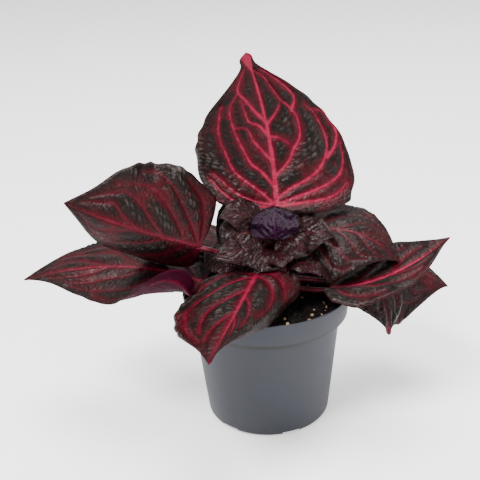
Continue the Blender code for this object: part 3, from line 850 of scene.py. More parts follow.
def half_marks(spec, flat, side, rng):
    """Distance of one half's points from the veins and from the fine veins, how bright the
    veins are, and the height of the domes that pebble the blade."""
    along, shape = flat.along, flat.along.shape
    size = np.array((flat.length, flat.width))
    points = np.stack([along.ravel(), flat.out.ravel()], axis=1)
    table = spec["veins"][side]
    lines = vein_lines(table, rng, COMMON_SWAY if table is COMMON_VEINS else DRAWN_SWAY)
    wide, bright_midrib, bright_side, net, bright_tip = spec["look"]
    scale = min(1.0, 0.35 + flat.width / 60)
    thick = scale * wide
    midrib = tapered(on_midrib(-0.05, 0.5, 1.0), 1.4 * thick, 0.6 * thick, size)
    if spec["outline"] is HORN_OUTLINE:
        midrib += tapered(on_midrib(0.86, 0.93, 1.0), 0.5, 4.2, size)
    ribs = [piece for line in lines for piece in tapered(line, 0.9 * thick, 0.4 * thick, size)]
    fine = cross_links(lines, size, rng, net, 5.0 * scale + 0.6)
    fine += margin_net(lines, size, rng)
    to_midrib, to_side, to_fine = (gap_to(points, pieces).reshape(shape)
                                   for pieces in (midrib, ribs, fine))
    midrib_share = 1 / (1 + np.exp((to_midrib - to_side) / 0.4))
    glow = blend(bright_side, bright_midrib, midrib_share)
    glow = glow * blend(1.0, bright_tip, np.clip((along / flat.length - 0.7) / 0.28, 0, 1))
    rows = np.arange(shape[0])[:, None] * SLANT * flat.length / shape[0] + 0 * along
    strides = np.hypot(np.diff(along, axis=1, prepend=0), np.diff(flat.out, axis=1, prepend=0))
    run = np.cumsum(strides, axis=1) - along[:, :1]
    woven = np.stack([rows.ravel(), 0.42 * run.ravel()], axis=1)
    domes = cell_domes(woven + side * 37.0, 2.1 * scale + 0.1, rng).reshape(shape)
    return np.minimum(to_midrib, to_side), to_fine + 1.2 * (1 - net), glow, domes


def half_form(spec, flat, side):
    """Distances across and up of one folded and curled half, with the scallops of its margin,
    its waves and its ruffles."""
    share = flat.share
    height, count, phase = spec["wave"]
    shift = side * HALF_SHIFT
    fold_base, fold_tip, curl_base, curl_tip = spec[("left", "right")[side]]
    fold = blend(fold_base, fold_tip, share ** spec["power"])
    curl = blend(curl_base, curl_tip, share ** spec["power"])
    scallop = 0.5 + 0.5 * np.sin(
        2 * np.pi * (SCALLOPS * share + phase + shift) + 2 * np.sin(11 * share))
    width = flat.out * (1 - spec["narrow"][side] * share) * spec["trim"][side]
    width = width * (1 - SCALLOP_DEPTH * scallop * flat.stops ** 3)
    across, up = bent_half(width, flat.width, fold, curl)
    wave = np.sin(2 * np.pi * (count * share + phase + shift))
    up = up + height * (width / flat.width) ** 2 * wave
    ruffle = np.sin(
        2 * np.pi * (RUFFLES * share + 3.7 * phase + shift + 0.13 * np.sin(23 * share)))
    return across, up + spec["ruffle"] * ruffle * (width / flat.width) ** 4


def half_quilt(spec, flat, side, vein, twig, domes, quilting, spacing):
    """Height of the tissue that bulges between the veins of one half, with its pebbles and
    ridges, and how far each point stands out as a lump."""
    pillow = 1 - np.exp(-np.clip(vein, 0, None) / (2.2 * quilting + 0.4))
    crease = 1 - np.exp(-np.clip(twig, 0, None) / 0.7)
    ridges = np.sin(np.arange(flat.rows + 1) * 2 * np.pi * spacing / RIDGE_LENGTH)[:, None]
    ridges = ridges * np.sin(0.31 * flat.along + 0.4 * side) * np.sin(0.37 * flat.out)
    calm = 1 - np.clip(spec["narrow"][side], 0, 1) * flat.share
    pebbles = (spec["pebble"] * (domes - 0.5) + 0.30 * ridges) * pillow * calm
    lump = np.clip(0.5 + 0.9 * (domes - 0.5) + 0.45 * ridges, 0, 1) * crease * pillow
    inside = np.clip(flat.rim / 1.5, 0, 1)
    quilt = inside * quilting * (pillow - 0.6 + 0.35 * crease + pebbles)
    return quilt, blend(0.4, lump, calm)


def blade_surface(spec, spacing, quilting):
    """Middle surface of the blade with its relief, and the marks that its materials read.
    Rows follow the side veins, columns run from the left margin to the right one."""
    rng = np.random.default_rng(spec["seed"])
    midrib = Midrib(spec)
    flat = FlatHalf(spec, midrib.length, spacing)
    back = (1 - flat.down) ** 2 * flat.stops ** 2
    halves = []
    for side, sign in enumerate((-1, 1)):
        vein, twig, glow, domes = half_marks(spec, flat, side, rng)
        across, up = half_form(spec, flat, side)
        quilt, lump = half_quilt(spec, flat, side, vein, twig, domes, quilting, spacing)
        lobe = spec["lobes"][side] * midrib.length
        point, _, over, above = midrib.at(flat.along - lobe * back)
        surface = point + sign * across[..., None] * over + (up + quilt)[..., None] * above
        halves.append((surface, vein, twig, flat.rim, glow, lump))
    grid, *marks = (np.concatenate([left[:, :0:-1], right], axis=1) for left, right in zip(*halves))
    return midrib, grid, marks


def petiole_path(spec, midrib):
    """Path and radii of a leaf's stalk, from just inside the stem to the underside of the
    midrib's first stretch."""
    base, ahead, _, up = (value[0] for value in midrib.at(np.array([0.0])))
    thick = PETIOLE_RADIUS * spec["petiole"]
    centre, _ = stem_at(spec["node"])
    radius = max(stem_at(spec["node"] + rise)[1] for rise in (-thick, 0.0, thick))
    outward = base - centre
    outward[2] = 0
    outward = unit(outward)
    start = centre + outward * (radius - 0.6)
    end = base - up * (0.5 + thick)
    square = start + outward * 1.7
    reach = np.linalg.norm(end - square)
    first = square + outward * 0.4 * reach
    second = end - ahead * 0.35 * reach
    path = [start]
    radii = [thick * 1.45]
    for t in np.linspace(0, 1, 24):
        path.append((1 - t) ** 3 * square + 3 * t * (1 - t) ** 2 * first
                    + 3 * t * t * (1 - t) * second + t ** 3 * end)
        radii.append(thick * blend(1.12, 0.95, t))
    for distance, size in STALK_END:
        distance *= min(1.0, midrib.length / 40)
        point, _, _, above = (value[0] for value in midrib.at(np.array([distance])))
        path.append(point - above * (1.3 + 0.6 * thick * size))
        radii.append(thick * size)
    return path, radii


def upward_of(grid):
    """Direction that the upper side faces at each point of the blade's grid."""
    over = np.gradient(grid, axis=1)
    along = np.gradient(grid, axis=0)
    over[-1] = over[-2]
    upward = unit(np.cross(over, along))
    upward[-1] = upward[-2, grid.shape[1] // 2]
    return upward


def listed(grid):
    """Points or values of the blade's grid one after the other; its last row is one point."""
    return np.concatenate([grid[:-1].reshape(-1, *grid.shape[2:]), grid[-1:, grid.shape[1] // 2]])


def blade_faces(rows, columns):
    """Faces of the blade: those of its upper side, and those of its underside and margin. The
    points of the underside follow those of the upper side."""
    count = rows * columns + 1
    number = np.arange((rows + 1) * columns).reshape(rows + 1, columns)
    number[rows] = rows * columns
    quads = np.stack([number[:-1, :-1], number[:-1, 1:], number[1:, 1:], number[1:, :-1]], axis=-1)
    upper = [quad[:3] if quad[2] == quad[3] else quad for quad in quads.reshape(-1, 4).tolist()]
    others = [[count + corner for corner in reversed(face)] for face in upper]
    edge = np.concatenate([number[0], number[1:, -1], number[rows - 1:0:-1, 0]]).tolist()
    for here, there in zip(edge, edge[1:] + edge[:1]):
        others.append([there, here, count + here, count + there])
    return upper, others


def leaf_piece(name, spec, settings, materials):
    """A whole leaf: upper side, underside with its raised ribs, margin and stalk."""
    quilting = settings.quilting / MM * spec["quilting"]
    spacing = settings.spacing / MM * spec["fineness"]
    midrib, grid, marks = blade_surface(spec, spacing, quilting)
    rows, columns = grid.shape[0] - 1, grid.shape[1]
    vein, rim = marks[0], marks[2]
    upward = upward_of(grid)
    thick = settings.thickness / MM * blend(MARGIN_THICKNESS, 1.0, np.clip(rim / 2.0, 0, 1))
    ribs = RIB_HEIGHT * np.exp(-np.clip(vein + 0.3, 0, None) / 0.5)
    middle = columns // 2
    across = np.linalg.norm(grid - grid[:, middle:middle + 1], axis=2)
    keel = KEEL_DEPTH * spec["petiole"] * (1 - np.arange(rows + 1) / rows)[:, None] ** 0.8
    keel = keel * np.exp(-(across / KEEL_WIDTH) ** 2)
    top = listed(grid + upward * thick[..., None] / 2)
    bottom = listed(grid - upward * (thick / 2 + ribs + keel)[..., None])
    upper, others = blade_faces(rows, columns)

    path, radii = petiole_path(spec, midrib)
    line = smooth_line(path, 3)
    radii = np.interp(np.linspace(0, 1, len(line)), np.linspace(0, 1, len(path)), radii)
    stalk, stalk_faces = tube(line, radii, STALK_SIDES, 2 * len(top))
    slots = [0] * len(upper) + [1] * len(others) + [2] * len(stalk_faces)
    item = mesh_object(name, np.vstack([top, bottom, stalk]), upper + others + stalk_faces,
                       materials, slots)
    for label, values, rest in zip(MARKS, marks, STALK_MARKS):
        values = listed(values)
        attribute(item, label, np.concatenate([values, values, np.full(len(stalk), rest)]))
    return item


def stem_piece(material):
    """Upright stem with swollen nodes and a pointed bud at its tip."""
    heights = np.arange(STEM_FOOT[2], STEM_TOP[2], STEM_STEP)
    path = [stem_at(height)[0] for height in heights]
    radii = [min(stem_at(height)[1], STEM_RADIUS + 0.4) for height in heights]
    top = np.array(STEM_TOP)
    for share in np.linspace(0, 1, 9):
        path.append(top + np.array((0.0, -0.6, 1.0)) * BUD_LENGTH * share + (0, 0, 0.4))
        radii.append(STEM_TOP_RADIUS * math.sqrt(max(0.01, 1 - share ** 2.2)))
    points, faces = tube(path, radii, STEM_SIDES)
    return mesh_object("stem_skin", points, faces, [material])


# Pot

def rounded(corners, radius, steps):
    """Profile with its corners rounded; each corner is (radius, height)."""
    corners = [np.array(corner, float) for corner in corners]
    line = [corners[0]]
    for before, corner, after in zip(corners, corners[1:], corners[2:]):
        back, ahead = before - corner, after - corner
        size = min(radius, 0.45 * np.linalg.norm(back), 0.45 * np.linalg.norm(ahead))
        first, last = corner + unit(back) * size, corner + unit(ahead) * size
        for t in np.linspace(0, 1, steps + 1):
            line.append(bowed(first, corner, last, t))
    line.append(corners[-1])
    return np.array(line)


def pot_profile(wall):
    """Profile of the pot from the axis below, up the outside, over the lip and down inside."""
    outside = [(0.0, 0.0), (FOOT_RADIUS - 2.0, 0.0), (FOOT_RADIUS, 1.6),
               (WALL_TOP_RADIUS, BAND_FOOT - 0.9), (WALL_TOP_RADIUS + 0.5, BAND_FOOT),
               (RIM_RADIUS - BAND_TAPER, BAND_FOOT), (RIM_RADIUS, RIM_HEIGHT)]
    inside = [(RIM_RADIUS - wall, RIM_HEIGHT), (RIM_RADIUS - BAND_TAPER - wall, BAND_FOOT + wall),
              (WALL_TOP_RADIUS - wall, BAND_FOOT - wall), (FOOT_RADIUS - wall, 3.5),
              (FOOT_RADIUS - wall - 1.5, wall), (0.0, wall)]
    return rounded(outside + inside, 0.8, 4)


def turned_tree():
    """Node tree that turns a profile round Z. The profile's X is the distance from a ring."""
    tree, enter, leave = group_tree("turned profile", "GeometryNodeTree", [
        ("Profile", "Geometry", None), ("Sides", "Int", 144), ("Ring radius", "Float", 0.01),
        ("Material", "Material", None),
    ], [("Geometry", "Geometry")])
    curve = put(tree, "GeometryNodeMeshToCurve", mesh=enter.outputs["Profile"])
    ring = put(tree, "GeometryNodeCurvePrimitiveCircle", resolution=enter.outputs["Sides"],
               radius=enter.outputs["Ring radius"])
    upright = put(tree, "GeometryNodeSetCurveNormal", {"mode": "Z_UP"}, curve=ring)
    shell = put(tree, "GeometryNodeCurveToMesh", curve=upright, profile_curve=curve)
    closed = put(tree, "GeometryNodeMergeByDistance", geometry=shell, distance=0.000002)
    done = put(tree, "GeometryNodeSetMaterial", geometry=closed,
               material=enter.outputs["Material"])
    fed(tree, leave, geometry=done)
    return tree


def face_outwards(item):
    """Turns the faces of a closed mesh outwards."""
    work = bmesh.new()
    work.from_mesh(item.data)
    bmesh.ops.recalc_face_normals(work, faces=work.faces)
    work.to_mesh(item.data)
    work.free()


def cut(target, tool, operation):
    """Adds the tool to the target or cuts it away, and drops the tool."""
    modifier = target.modifiers.new("cut", "BOOLEAN")
    modifier.operation = operation
    modifier.solver = "EXACT"
    modifier.object = tool
    baked(target)
    bpy.data.objects.remove(tool)


def round_the_foot(name, points, faces):
    """The shape repeated at each drainage channel, as one tool."""
    points = np.array(points, float)
    every, every_face = [], []
    for k in range(CHANNELS):
        turn = math.radians(FIRST_CHANNEL_DEG + 360 / CHANNELS * k)
        rotation = np.array(Matrix.Rotation(turn, 3, "Z"))
        every.append(points @ rotation.T)
        every_face += [[corner + k * len(points) for corner in face] for face in faces]
    return mesh_object(name, np.concatenate(every), every_face, [])


def box_shape(low, high):
    points = [(x, y, z) for x in (low[0], high[0]) for y in (low[1], high[1])
              for z in (low[2], high[2])]
    faces = [(0, 1, 3, 2), (4, 6, 7, 5), (0, 4, 5, 1), (2, 3, 7, 6), (0, 2, 6, 4), (1, 5, 7, 3)]
    return points, faces


def pot_piece(settings, material):
    """Thin-walled pot with a wide rim band and drainage channels under its floor."""
    wall = settings.wall / MM
    profile = pot_profile(wall)
    ring = 10.0
    flat = np.column_stack([profile[:, 0] - ring, -profile[:, 1], np.zeros(len(profile))])
    mesh = bpy.data.meshes.new("pot_body")
    edges = [(k, k + 1) for k in range(len(flat) - 1)]
    mesh.from_pydata((flat * MM).tolist(), edges, [])
    pot = bpy.data.objects.new("pot_body", mesh)
    bpy.context.scene.collection.objects.link(pot)
    from_nodes(pot, turned_tree(), {"Sides": settings.sides, "Ring radius": ring * MM,
                                    "Material": material})
    face_outwards(pot)
    half = CHANNEL_WIDTH / 2
    cut(pot, round_the_foot("roofs", *box_shape(
        (CHANNEL_START - wall, -half - wall, wall - 0.1),
        (FOOT_RADIUS - 1.8, half + wall, CHANNEL_RISE + wall))), "UNION")
    cut(pot, round_the_foot("channels", *box_shape(
        (CHANNEL_START, -half, -1.0), (FOOT_RADIUS + 2, half, CHANNEL_RISE))), "DIFFERENCE")
    cut(pot, round_the_foot("drains", *tube(
        [(DRAIN_AT, 0, -1), (DRAIN_AT, 0, 6)], [DRAIN_RADIUS] * 2, 24)), "DIFFERENCE")
    pot.data.shade_smooth()
    pot.data.set_sharp_from_angle(angle=math.radians(SHARP_DEG))
    return pot


# Soil

def soil_height(x, y):
    """Height of the soil's rough top, in millimetres."""
    bump = noise.noise(Vector((x * 0.16, y * 0.16, 3.7)))
    bump += 0.6 * noise.noise(Vector((x * 0.4, y * 0.4, 9.1)))
    bump += 0.35 * noise.noise(Vector((x * 0.9, y * 0.9, 2.3)))
    return SOIL_TOP + SOIL_BUMP * bump


def soil_rim(wall):
    """Radius of the soil at its top, just inside the pot's band."""
    return (RIM_RADIUS - BAND_TAPER - wall - SOIL_GAP
            + (SOIL_TOP - BAND_FOOT - wall) * BAND_TAPER / BAND_HEIGHT)


def soil_piece(wall, material):
    """Plug of soil with a rough top."""
    rim = soil_rim(wall)
    inset = wall + SOIL_GAP
    profile = [(0.0, SOIL_FOOT), (FOOT_RADIUS - inset, SOIL_FOOT),
               (WALL_TOP_RADIUS - inset, BAND_FOOT - wall + 0.3),
               (RIM_RADIUS - BAND_TAPER - inset, BAND_FOOT + wall + 0.3), (rim, SOIL_TOP - 0.8)]
    profile += [(rim * (1 - ring / SOIL_RINGS), SOIL_TOP) for ring in range(1, SOIL_RINGS)]
    sides = SOIL_SIDES
    angles = 2 * np.pi * np.arange(sides) / sides
    points = [(0.0, 0.0, profile[0][1])]
    faces = []
    for radius, height in profile[1:]:
        for x, y in zip(radius * np.cos(angles), radius * np.sin(angles)):
            points.append((x, y, height if height < SOIL_TOP else soil_height(x, y)))
    points.append((0.0, 0.0, soil_height(0, 0)))
    rings = len(profile) - 1
    for k in range(sides):
        after = (k + 1) % sides
        faces.append((0, 1 + after, 1 + k))
        faces += [ring_quad(1 + ring * sides, sides, k) for ring in range(rings - 1)]
        low = 1 + (rings - 1) * sides
        faces.append((low + k, low + after, len(points) - 1))
    return mesh_object("soil_bed", points, faces, [material])


def random_value(tree, kind, low, high, seed):
    return put(tree, "FunctionNodeRandomValue", {"data_type": kind}, min=low, max=high, seed=seed)


def scattered(tree, bed, density, seed, size, spread, rough, material):
    """Branch of a tree: lumps of uneven size and shape strewn on the bed's faces."""
    places = put(tree, "GeometryNodeDistributePointsOnFaces", mesh=bed, density=density, seed=seed)
    lump = put(tree, "GeometryNodeMeshIcoSphere", radius=1.0, subdivisions=1)
    turn = random_value(tree, "FLOAT_VECTOR", (0.0, 0.0, 0.0), (6.28, 6.28, 6.28), seed + 1)
    uneven = random_value(tree, "FLOAT_VECTOR", (0.55, 0.55, 0.4), (1.25, 1.25, 0.9), seed + 2)
    share = random_value(tree, "FLOAT", 0.0, 1.0, seed + 3)
    grown = put(tree, "ShaderNodeMath", {"operation": "MULTIPLY_ADD"},
                a=maths(tree, "POWER", share, spread), b=1.5, c=0.55)
    full = put(tree, "ShaderNodeVectorMath", {"operation": "SCALE"}, a=uneven,
               scale=times(tree, grown, size))
    strewn = put(tree, "GeometryNodeInstanceOnPoints", points=places, instance=lump,
                 rotation=turn, scale=full)
    real = put(tree, "GeometryNodeRealizeInstances", geometry=strewn)
    where = put(tree, "GeometryNodeInputPosition")
    ragged = put(tree, "ShaderNodeTexNoise", vector=where, scale=900.0, detail=1.0)
    middle = put(tree, "ShaderNodeVectorMath", {"operation": "SUBTRACT"},
                 a=ragged.outputs["Color"], b=(0.5, 0.5, 0.5))
    offset = put(tree, "ShaderNodeVectorMath", {"operation": "SCALE"}, a=middle, scale=rough)
    moved = put(tree, "GeometryNodeSetPosition", geometry=real, offset=offset)
    smooth = put(tree, "GeometryNodeSetShadeSmooth", geometry=moved, shade_smooth=True)
    return put(tree, "GeometryNodeSetMaterial", geometry=smooth, material=material)


def grain_tree():
    """Node tree that strews soil grains and a few pale chips on a bed."""
    tree, enter, leave = group_tree("soil grains", "GeometryNodeTree", [
        ("Bed", "Geometry", None), ("Grains", "Float", 900000.0), ("Grain size", "Float", 0.0008),
        ("Chips", "Float", 20000.0), ("Peat", "Material", None), ("Chip", "Material", None),
    ], [("Geometry", "Geometry")])
    bed, grain_size = enter.outputs["Bed"], enter.outputs["Grain size"]
    grains = scattered(tree, bed, enter.outputs["Grains"], seed=11, size=grain_size, spread=3.0,
                       rough=0.0009, material=enter.outputs["Peat"])
    chips = scattered(tree, bed, enter.outputs["Chips"], seed=41,
                      size=times(tree, grain_size, 1.25), spread=1.0, rough=0.0010,
                      material=enter.outputs["Chip"])
    joined = put(tree, "GeometryNodeJoinGeometry", geometry=grains)
    fed(tree, joined, geometry=chips)
    fed(tree, leave, geometry=joined)
    return tree


def grain_piece(settings, wall, peat, chip):
    """Loose grains on the soil, made on a plain disc that follows its top."""
    rim = soil_rim(wall) - GRAIN_INSET
    rings, sides = GRAIN_RINGS, GRAIN_SIDES
    points = [(0.0, 0.0, soil_height(0, 0))]
    faces = []
    for ring in range(1, rings + 1):
        for k in range(sides):
            angle = 2 * math.pi * k / sides
            x, y = (rim * ring / rings * turn for turn in (math.cos(angle), math.sin(angle)))
            points.append((x, y, soil_height(x, y)))
    for k in range(sides):
        after = (k + 1) % sides
        faces.append((0, 1 + k, 1 + after))
        for ring in range(rings - 1):
            first, *others = ring_quad(1 + ring * sides, sides, k)
            faces.append((first, *reversed(others)))
    bed = mesh_object("soil_grains", points, faces, [])
    return from_nodes(bed, grain_tree(), {
        "Grains": settings.density, "Grain size": settings.grain, "Chips": settings.chips,
        "Peat": peat, "Chip": chip})


# Materials

def vein_marks_group(name):
    """Masks that read the marks kept on a blade: its veins and their bright core, the fine
    veins, the flush beside the veins, the rim and its edge, an uneven cloud, a fine net with
    its pillows, and the glow and lumps as they are kept. The marks are in millimetres."""
    masks = ("Vein", "Core", "Twig", "Flush", "Rim", "Edge", "Cloud", "Glow", "Net", "Pillow",
             "Lump")
    tree, enter, leave = group_tree(name, "ShaderNodeTree", [
        ("Vector", "Vector", None), ("Vein edge", "Float", 0.7),
        ("Flush reach", "Float", 3.2), ("Cloud scale", "Float", 60.0),
        ("Net scale", "Float", 420.0),
    ], [(mask, "Float") for mask in masks])
    vector = enter.outputs["Vector"]
    vein, twig, rim, glow, lump = (
        put(tree, "ShaderNodeAttribute", {"attribute_name": mark}).outputs["Fac"]
        for mark in MARKS)
    ragged = grained(tree, vector, 420.0, 4.0, 0.65)
    jitter = times(tree, maths(tree, "SUBTRACT", ragged, 0.5), 2.9)
    cloud = grained(tree, vector, enter.outputs["Cloud scale"], 5.0, 0.62)
    warp = put(tree, "ShaderNodeVectorMath", {"operation": "SCALE"}, a=grained(
        tree, vector, 260.0, 2.0).outputs["Color"], scale=0.003)
    bent = put(tree, "ShaderNodeVectorMath", {"operation": "ADD"}, a=vector, b=warp)
    cells = put(tree, "ShaderNodeTexVoronoi", {"feature": "DISTANCE_TO_EDGE"}, vector=bent,
                scale=enter.outputs["Net scale"])
    nearness = {
        "Vein": (plus(tree, vein, jitter), -0.45, enter.outputs["Vein edge"]),
        "Core": (vein, -0.9, 0.0),
        "Twig": (plus(tree, twig, times(tree, jitter, 0.6)), 0.05, 0.6),
        "Flush": (swayed(tree, vein, cloud, 11.0), -0.8, enter.outputs["Flush reach"]),
        "Rim": (plus(tree, rim, jitter), 0.3, 1.3),
        "Edge": (rim, 0.15, 0.6),
        "Net": (cells, 0.02, 0.13),
    }
    for mask, distances in nearness.items():
        fed(tree, leave, **{mask: faded(tree, *distances, 1.0, 0.0)})
    fed(tree, leave, pillow=faded(tree, cells, 0.0, 0.38), cloud=cloud, glow=glow, lump=lump)
    return tree


def speckle_group(name):
    """Fine uneven grain from 0 to 1, coarse cloud and the two together as a height."""
    tree, enter, leave = group_tree(name, "ShaderNodeTree", [
        ("Vector", "Vector", None), ("Fine", "Float", 2500.0),
        ("Coarse", "Float", 120.0), ("Share", "Float", 0.5),
    ], [(label, "Float") for label in ("Grain", "Cloud", "Height")])
    fine = grained(tree, enter.outputs["Vector"], enter.outputs["Fine"], 3.0)
    coarse = grained(tree, enter.outputs["Vector"], enter.outputs["Coarse"], 5.0)
    height = put(tree, "ShaderNodeMix", {"data_type": "FLOAT"}, factor=enter.outputs["Share"],
                 a=fine, b=coarse)
    fed(tree, leave, grain=fine, cloud=coarse, height=height)
    return tree


class Finishes:
    """The plant's materials and their groups, built once and kept for the operators."""
    made = {}

    @classmethod
    def get(cls, name, build, *values, **named):
        if name not in cls.made:
            cls.made[name] = build(name, *values, **named)
        return cls.made[name]


def placed_group(tree, name, build, **inputs):
    """Outputs of a shared group that is placed in the tree."""
    group = Finishes.get(name, build)
    return put(tree, "ShaderNodeGroup", {"node_tree": group}, **inputs).outputs


def speckled(tree, place, **grain):
    return placed_group(tree, "speckle", speckle_group, vector=place, **grain)


def pot_finish(name, colour):
    """Matt moulded plastic with a fine grain and faint cloudiness, dust round the foot and a
    painted shade line in the groove under the band."""
    material, tree, shader, place = new_material(name)
    speckle = speckled(tree, place, fine=5200.0, coarse=55.0, share=0.35)
    base = mixed(tree, faded(tree, speckle["Cloud"], 0.3, 0.7), scaled(colour, 0.93),
                 scaled(colour, 1.10))
    height = put(tree, "ShaderNodeSeparateXYZ", vector=place).outputs["Z"]
    dust = times(tree, faded(tree, height, 0.014, 0.0, 0.0, 1.0),
                 faded(tree, grained(tree, place, 300.0), 0.45, 0.75))
    base = mixed(tree, times(tree, dust, 0.35), base, DUST)
    foot = BAND_FOOT * MM
    # Painted shade: a dark line in the groove under the band's step, where shade falls
    groove = times(tree, faded(tree, height, foot - 0.0046, foot - 0.0014, 0.0, 1.0),
                   faded(tree, height, foot + 0.0009, foot + 0.0016, 1.0, 0.0))
    base = mixed(tree, groove, base, GROOVE_SHADE)
    dressed(tree, shader, base, grain=speckle["Height"], rough=(0.46, 0.60),
            height=speckle["Height"], strength=0.35, distance=0.00012, ior=1.40)
    return material


def peat_finish(name, colour):
    """Damp dark peat, brown on some of its fibres, painted nearly black as shade in its hollows."""
    material, tree, shader, place = new_material(name)
    speckle = speckled(tree, place, fine=1900.0, coarse=330.0, share=0.4)
    warm = mixed(tree, faded(tree, speckle["Cloud"], 0.48, 0.72), colour,
                 scaled(colour, 3.4, 0.002))
    # Painted shade: the peat turns nearly black where its fine grain, and so its relief, dips
    base = mixed(tree, faded(tree, speckle["Grain"], 0.35, 0.62), PEAT_HOLLOW_SHADE, warm)
    dressed(tree, shader, base, grain=speckle["Cloud"], rough=(0.72, 0.98),
            height=speckle["Height"], strength=0.7, distance=0.0006, ior=1.18)
    return material


def chip_finish(name, colour):
    """Pale tan crumbs of bark and grit."""
    material, tree, shader, place = new_material(name)
    speckle = speckled(tree, place, fine=2600.0, coarse=420.0, share=0.3)
    base = mixed(tree, faded(tree, speckle["Cloud"], 0.35, 0.68), scaled(colour, 0.45), colour)
    dressed(tree, shader, base, grain=speckle["Grain"], rough=(0.75, 0.95),
            height=speckle["Height"], strength=0.6, distance=0.0004)
    return material


def upper_finish(name, blade, olive, wash, vein, gloss, coat, net_scale, relief):
    """Upper side of a blade: a crimson net of veins over a nearly black, puckered blade, with
    painted shade in the creases between its puckers and lumps.
    """
    material, tree, shader, place = new_material(name)
    marks = placed_group(tree, "vein marks", vein_marks_group, vector=place, net_scale=net_scale)
    speckle = speckled(tree, place, fine=1700.0, coarse=300.0, share=0.5)
    cloud = swayed(tree, marks["Cloud"], speckle["Cloud"], 0.9)
    # The olive cloud shows only on the tops of the lumps; the creases and the grooves beside the
    # veins keep the nearly black blade as painted shade
    pale = times(tree, faded(tree, cloud, 0.30, 0.70, 0.25, 1.0),
                 faded(tree, marks["Lump"], 0.30, 0.85))
    patches = faded(tree, grained(tree, place, 38.0, 4.0, 0.7), 0.50, 0.68, 0.0, 0.75)
    flush = times(tree, marks["Flush"], faded(tree, marks["Glow"], 0.0, 1.0, 0.15, 1.0))
    lit_edge = times(tree, marks["Edge"], faded(tree, marks["Glow"], 0.0, 1.0, 0.05, 0.6))
    ground = mixed(tree, pale, blade, olive)
    for mask, colour in (
            (patches, wash),
            # Painted shade: darker lines along the net, where the pucker relief dips between its
            # pillows
            (times(tree, marks["Net"], 0.35), scaled(blade, 0.3)),
            (flush, wash),
            (times(tree, marks["Twig"], 0.35), between(wash, vein, 0.35)),
            (times(tree, marks["Rim"], 0.7), scaled(between(wash, blade, 0.6), 0.7)),
            (lit_edge, scaled(between(wash, vein, 0.05), 0.6, 0.006))):
        ground = mixed(tree, mask, ground, colour)
    core = plus(tree, marks["Core"], faded(tree, speckle["Cloud"], 0.35, 0.7, -0.3, 0.3))
    red = mixed(tree, core, scaled(vein, 0.40), scaled(vein, 1.3, 0.006))
    red = mixed(tree, maths(tree, "POWER", marks["Glow"], 1.8), scaled(wash, 0.8), red)
    shown = times(tree, marks["Vein"], faded(tree, marks["Glow"], 0.0, 0.5, 0.3, 1.0))
    height = plus(tree, marks["Pillow"], times(tree, speckle["Height"], 0.4))
    dressed(tree, shader, mixed(tree, shown, ground, red), grain=speckle["Cloud"],
            rough=(gloss - 0.07, gloss + 0.12), height=height, strength=relief,
            distance=0.16 / net_scale, ior=1.22, specular_tint=SHEEN_TINT, coat_weight=coat,
            coat_roughness=0.12)
    return material


def under_finish(name, under, vein):
    """Underside of a blade: satin maroon with paler ribs."""
    material, tree, shader, place = new_material(name)
    marks = placed_group(tree, "vein marks", vein_marks_group, vector=place)
    speckle = speckled(tree, place, fine=2400.0, coarse=200.0, share=0.4)
    ground = mixed(tree, faded(tree, speckle["Cloud"], 0.3, 0.7), scaled(under, 0.55), under)
    ground = mixed(tree, times(tree, marks["Twig"], 0.5), ground, scaled(under, 1.9))
    base = mixed(tree, marks["Vein"], ground, between(under, vein, 0.35))
    dressed(tree, shader, base, grain=speckle["Cloud"], rough=(0.48, 0.62),
            height=speckle["Height"], strength=0.4, distance=0.00025, ior=1.14,
            specular_tint=SHEEN_TINT)
    return material


def stalk_finish(name, colour):
    """Juicy crimson skin with darker streaks and a faint shine."""
    material, tree, shader, place = new_material(name)
    speckle = speckled(tree, place, fine=1500.0, coarse=240.0, share=0.5)
    base = mixed(tree, faded(tree, speckle["Cloud"], 0.35, 0.68), scaled(colour, 0.30), colour)
    base = mixed(tree, faded(tree, speckle["Grain"], 0.5, 0.8, 0.0, 0.6), base,
                 scaled(colour, 1.3, 0.01))
    dressed(tree, shader, base, grain=speckle["Cloud"], rough=(0.30, 0.44),
            height=speckle["Height"], strength=0.4, distance=0.0003)
    return material


def floor_finish(name, colour):
    """Plain pale floor with a faint light of its own."""
    material, tree, shader, place = new_material(name)
    base = mixed(tree, grained(tree, place, 3.0), scaled(colour, 0.985), colour)
    fed(tree, shader, base_color=base, roughness=0.8, emission_color=(1.0, 1.0, 1.0, 1.0),
        emission_strength=FLOOR_GLOW)
    return material


# Operators

class BLOODLEAF_OT_pot(bpy.types.Operator):
    """Make the pot"""
    bl_idname = "bloodleaf.pot"
    bl_label = "Pot"

    def execute(self, context):
        settings = context.scene.bloodleaf_pot
        pot = pot_piece(settings, Finishes.get("pot plastic", pot_finish, tuple(settings.plastic)))
        seated(pot, "pot_plastic", "pot")
        return {"FINISHED"}


class BLOODLEAF_OT_soil(bpy.types.Operator):
    """Make the soil and its loose grains"""
    bl_idname = "bloodleaf.soil"
    bl_label = "Soil"

    def execute(self, context):
        settings = context.scene.bloodleaf_soil
        wall = context.scene.bloodleaf_pot.wall / MM
        peat = Finishes.get("peat", peat_finish, tuple(settings.peat))
        chip = Finishes.get("tan chips", chip_finish, CHIP_TAN)
        seated(soil_piece(wall, peat), "potting_soil", "soil")
        seated(grain_piece(settings, wall, peat, chip), "potting_soil")
        return {"FINISHED"}


class BLOODLEAF_OT_stem(bpy.types.Operator):
    """Make the stem"""
    bl_idname = "bloodleaf.stem"
    bl_label = "Stem"

    def execute(self, context):
        skin = Finishes.get("stem skin", stalk_finish, STALK_RED)
        seated(stem_piece(skin), "stem_skin", "stem")
        return {"FINISHED"}


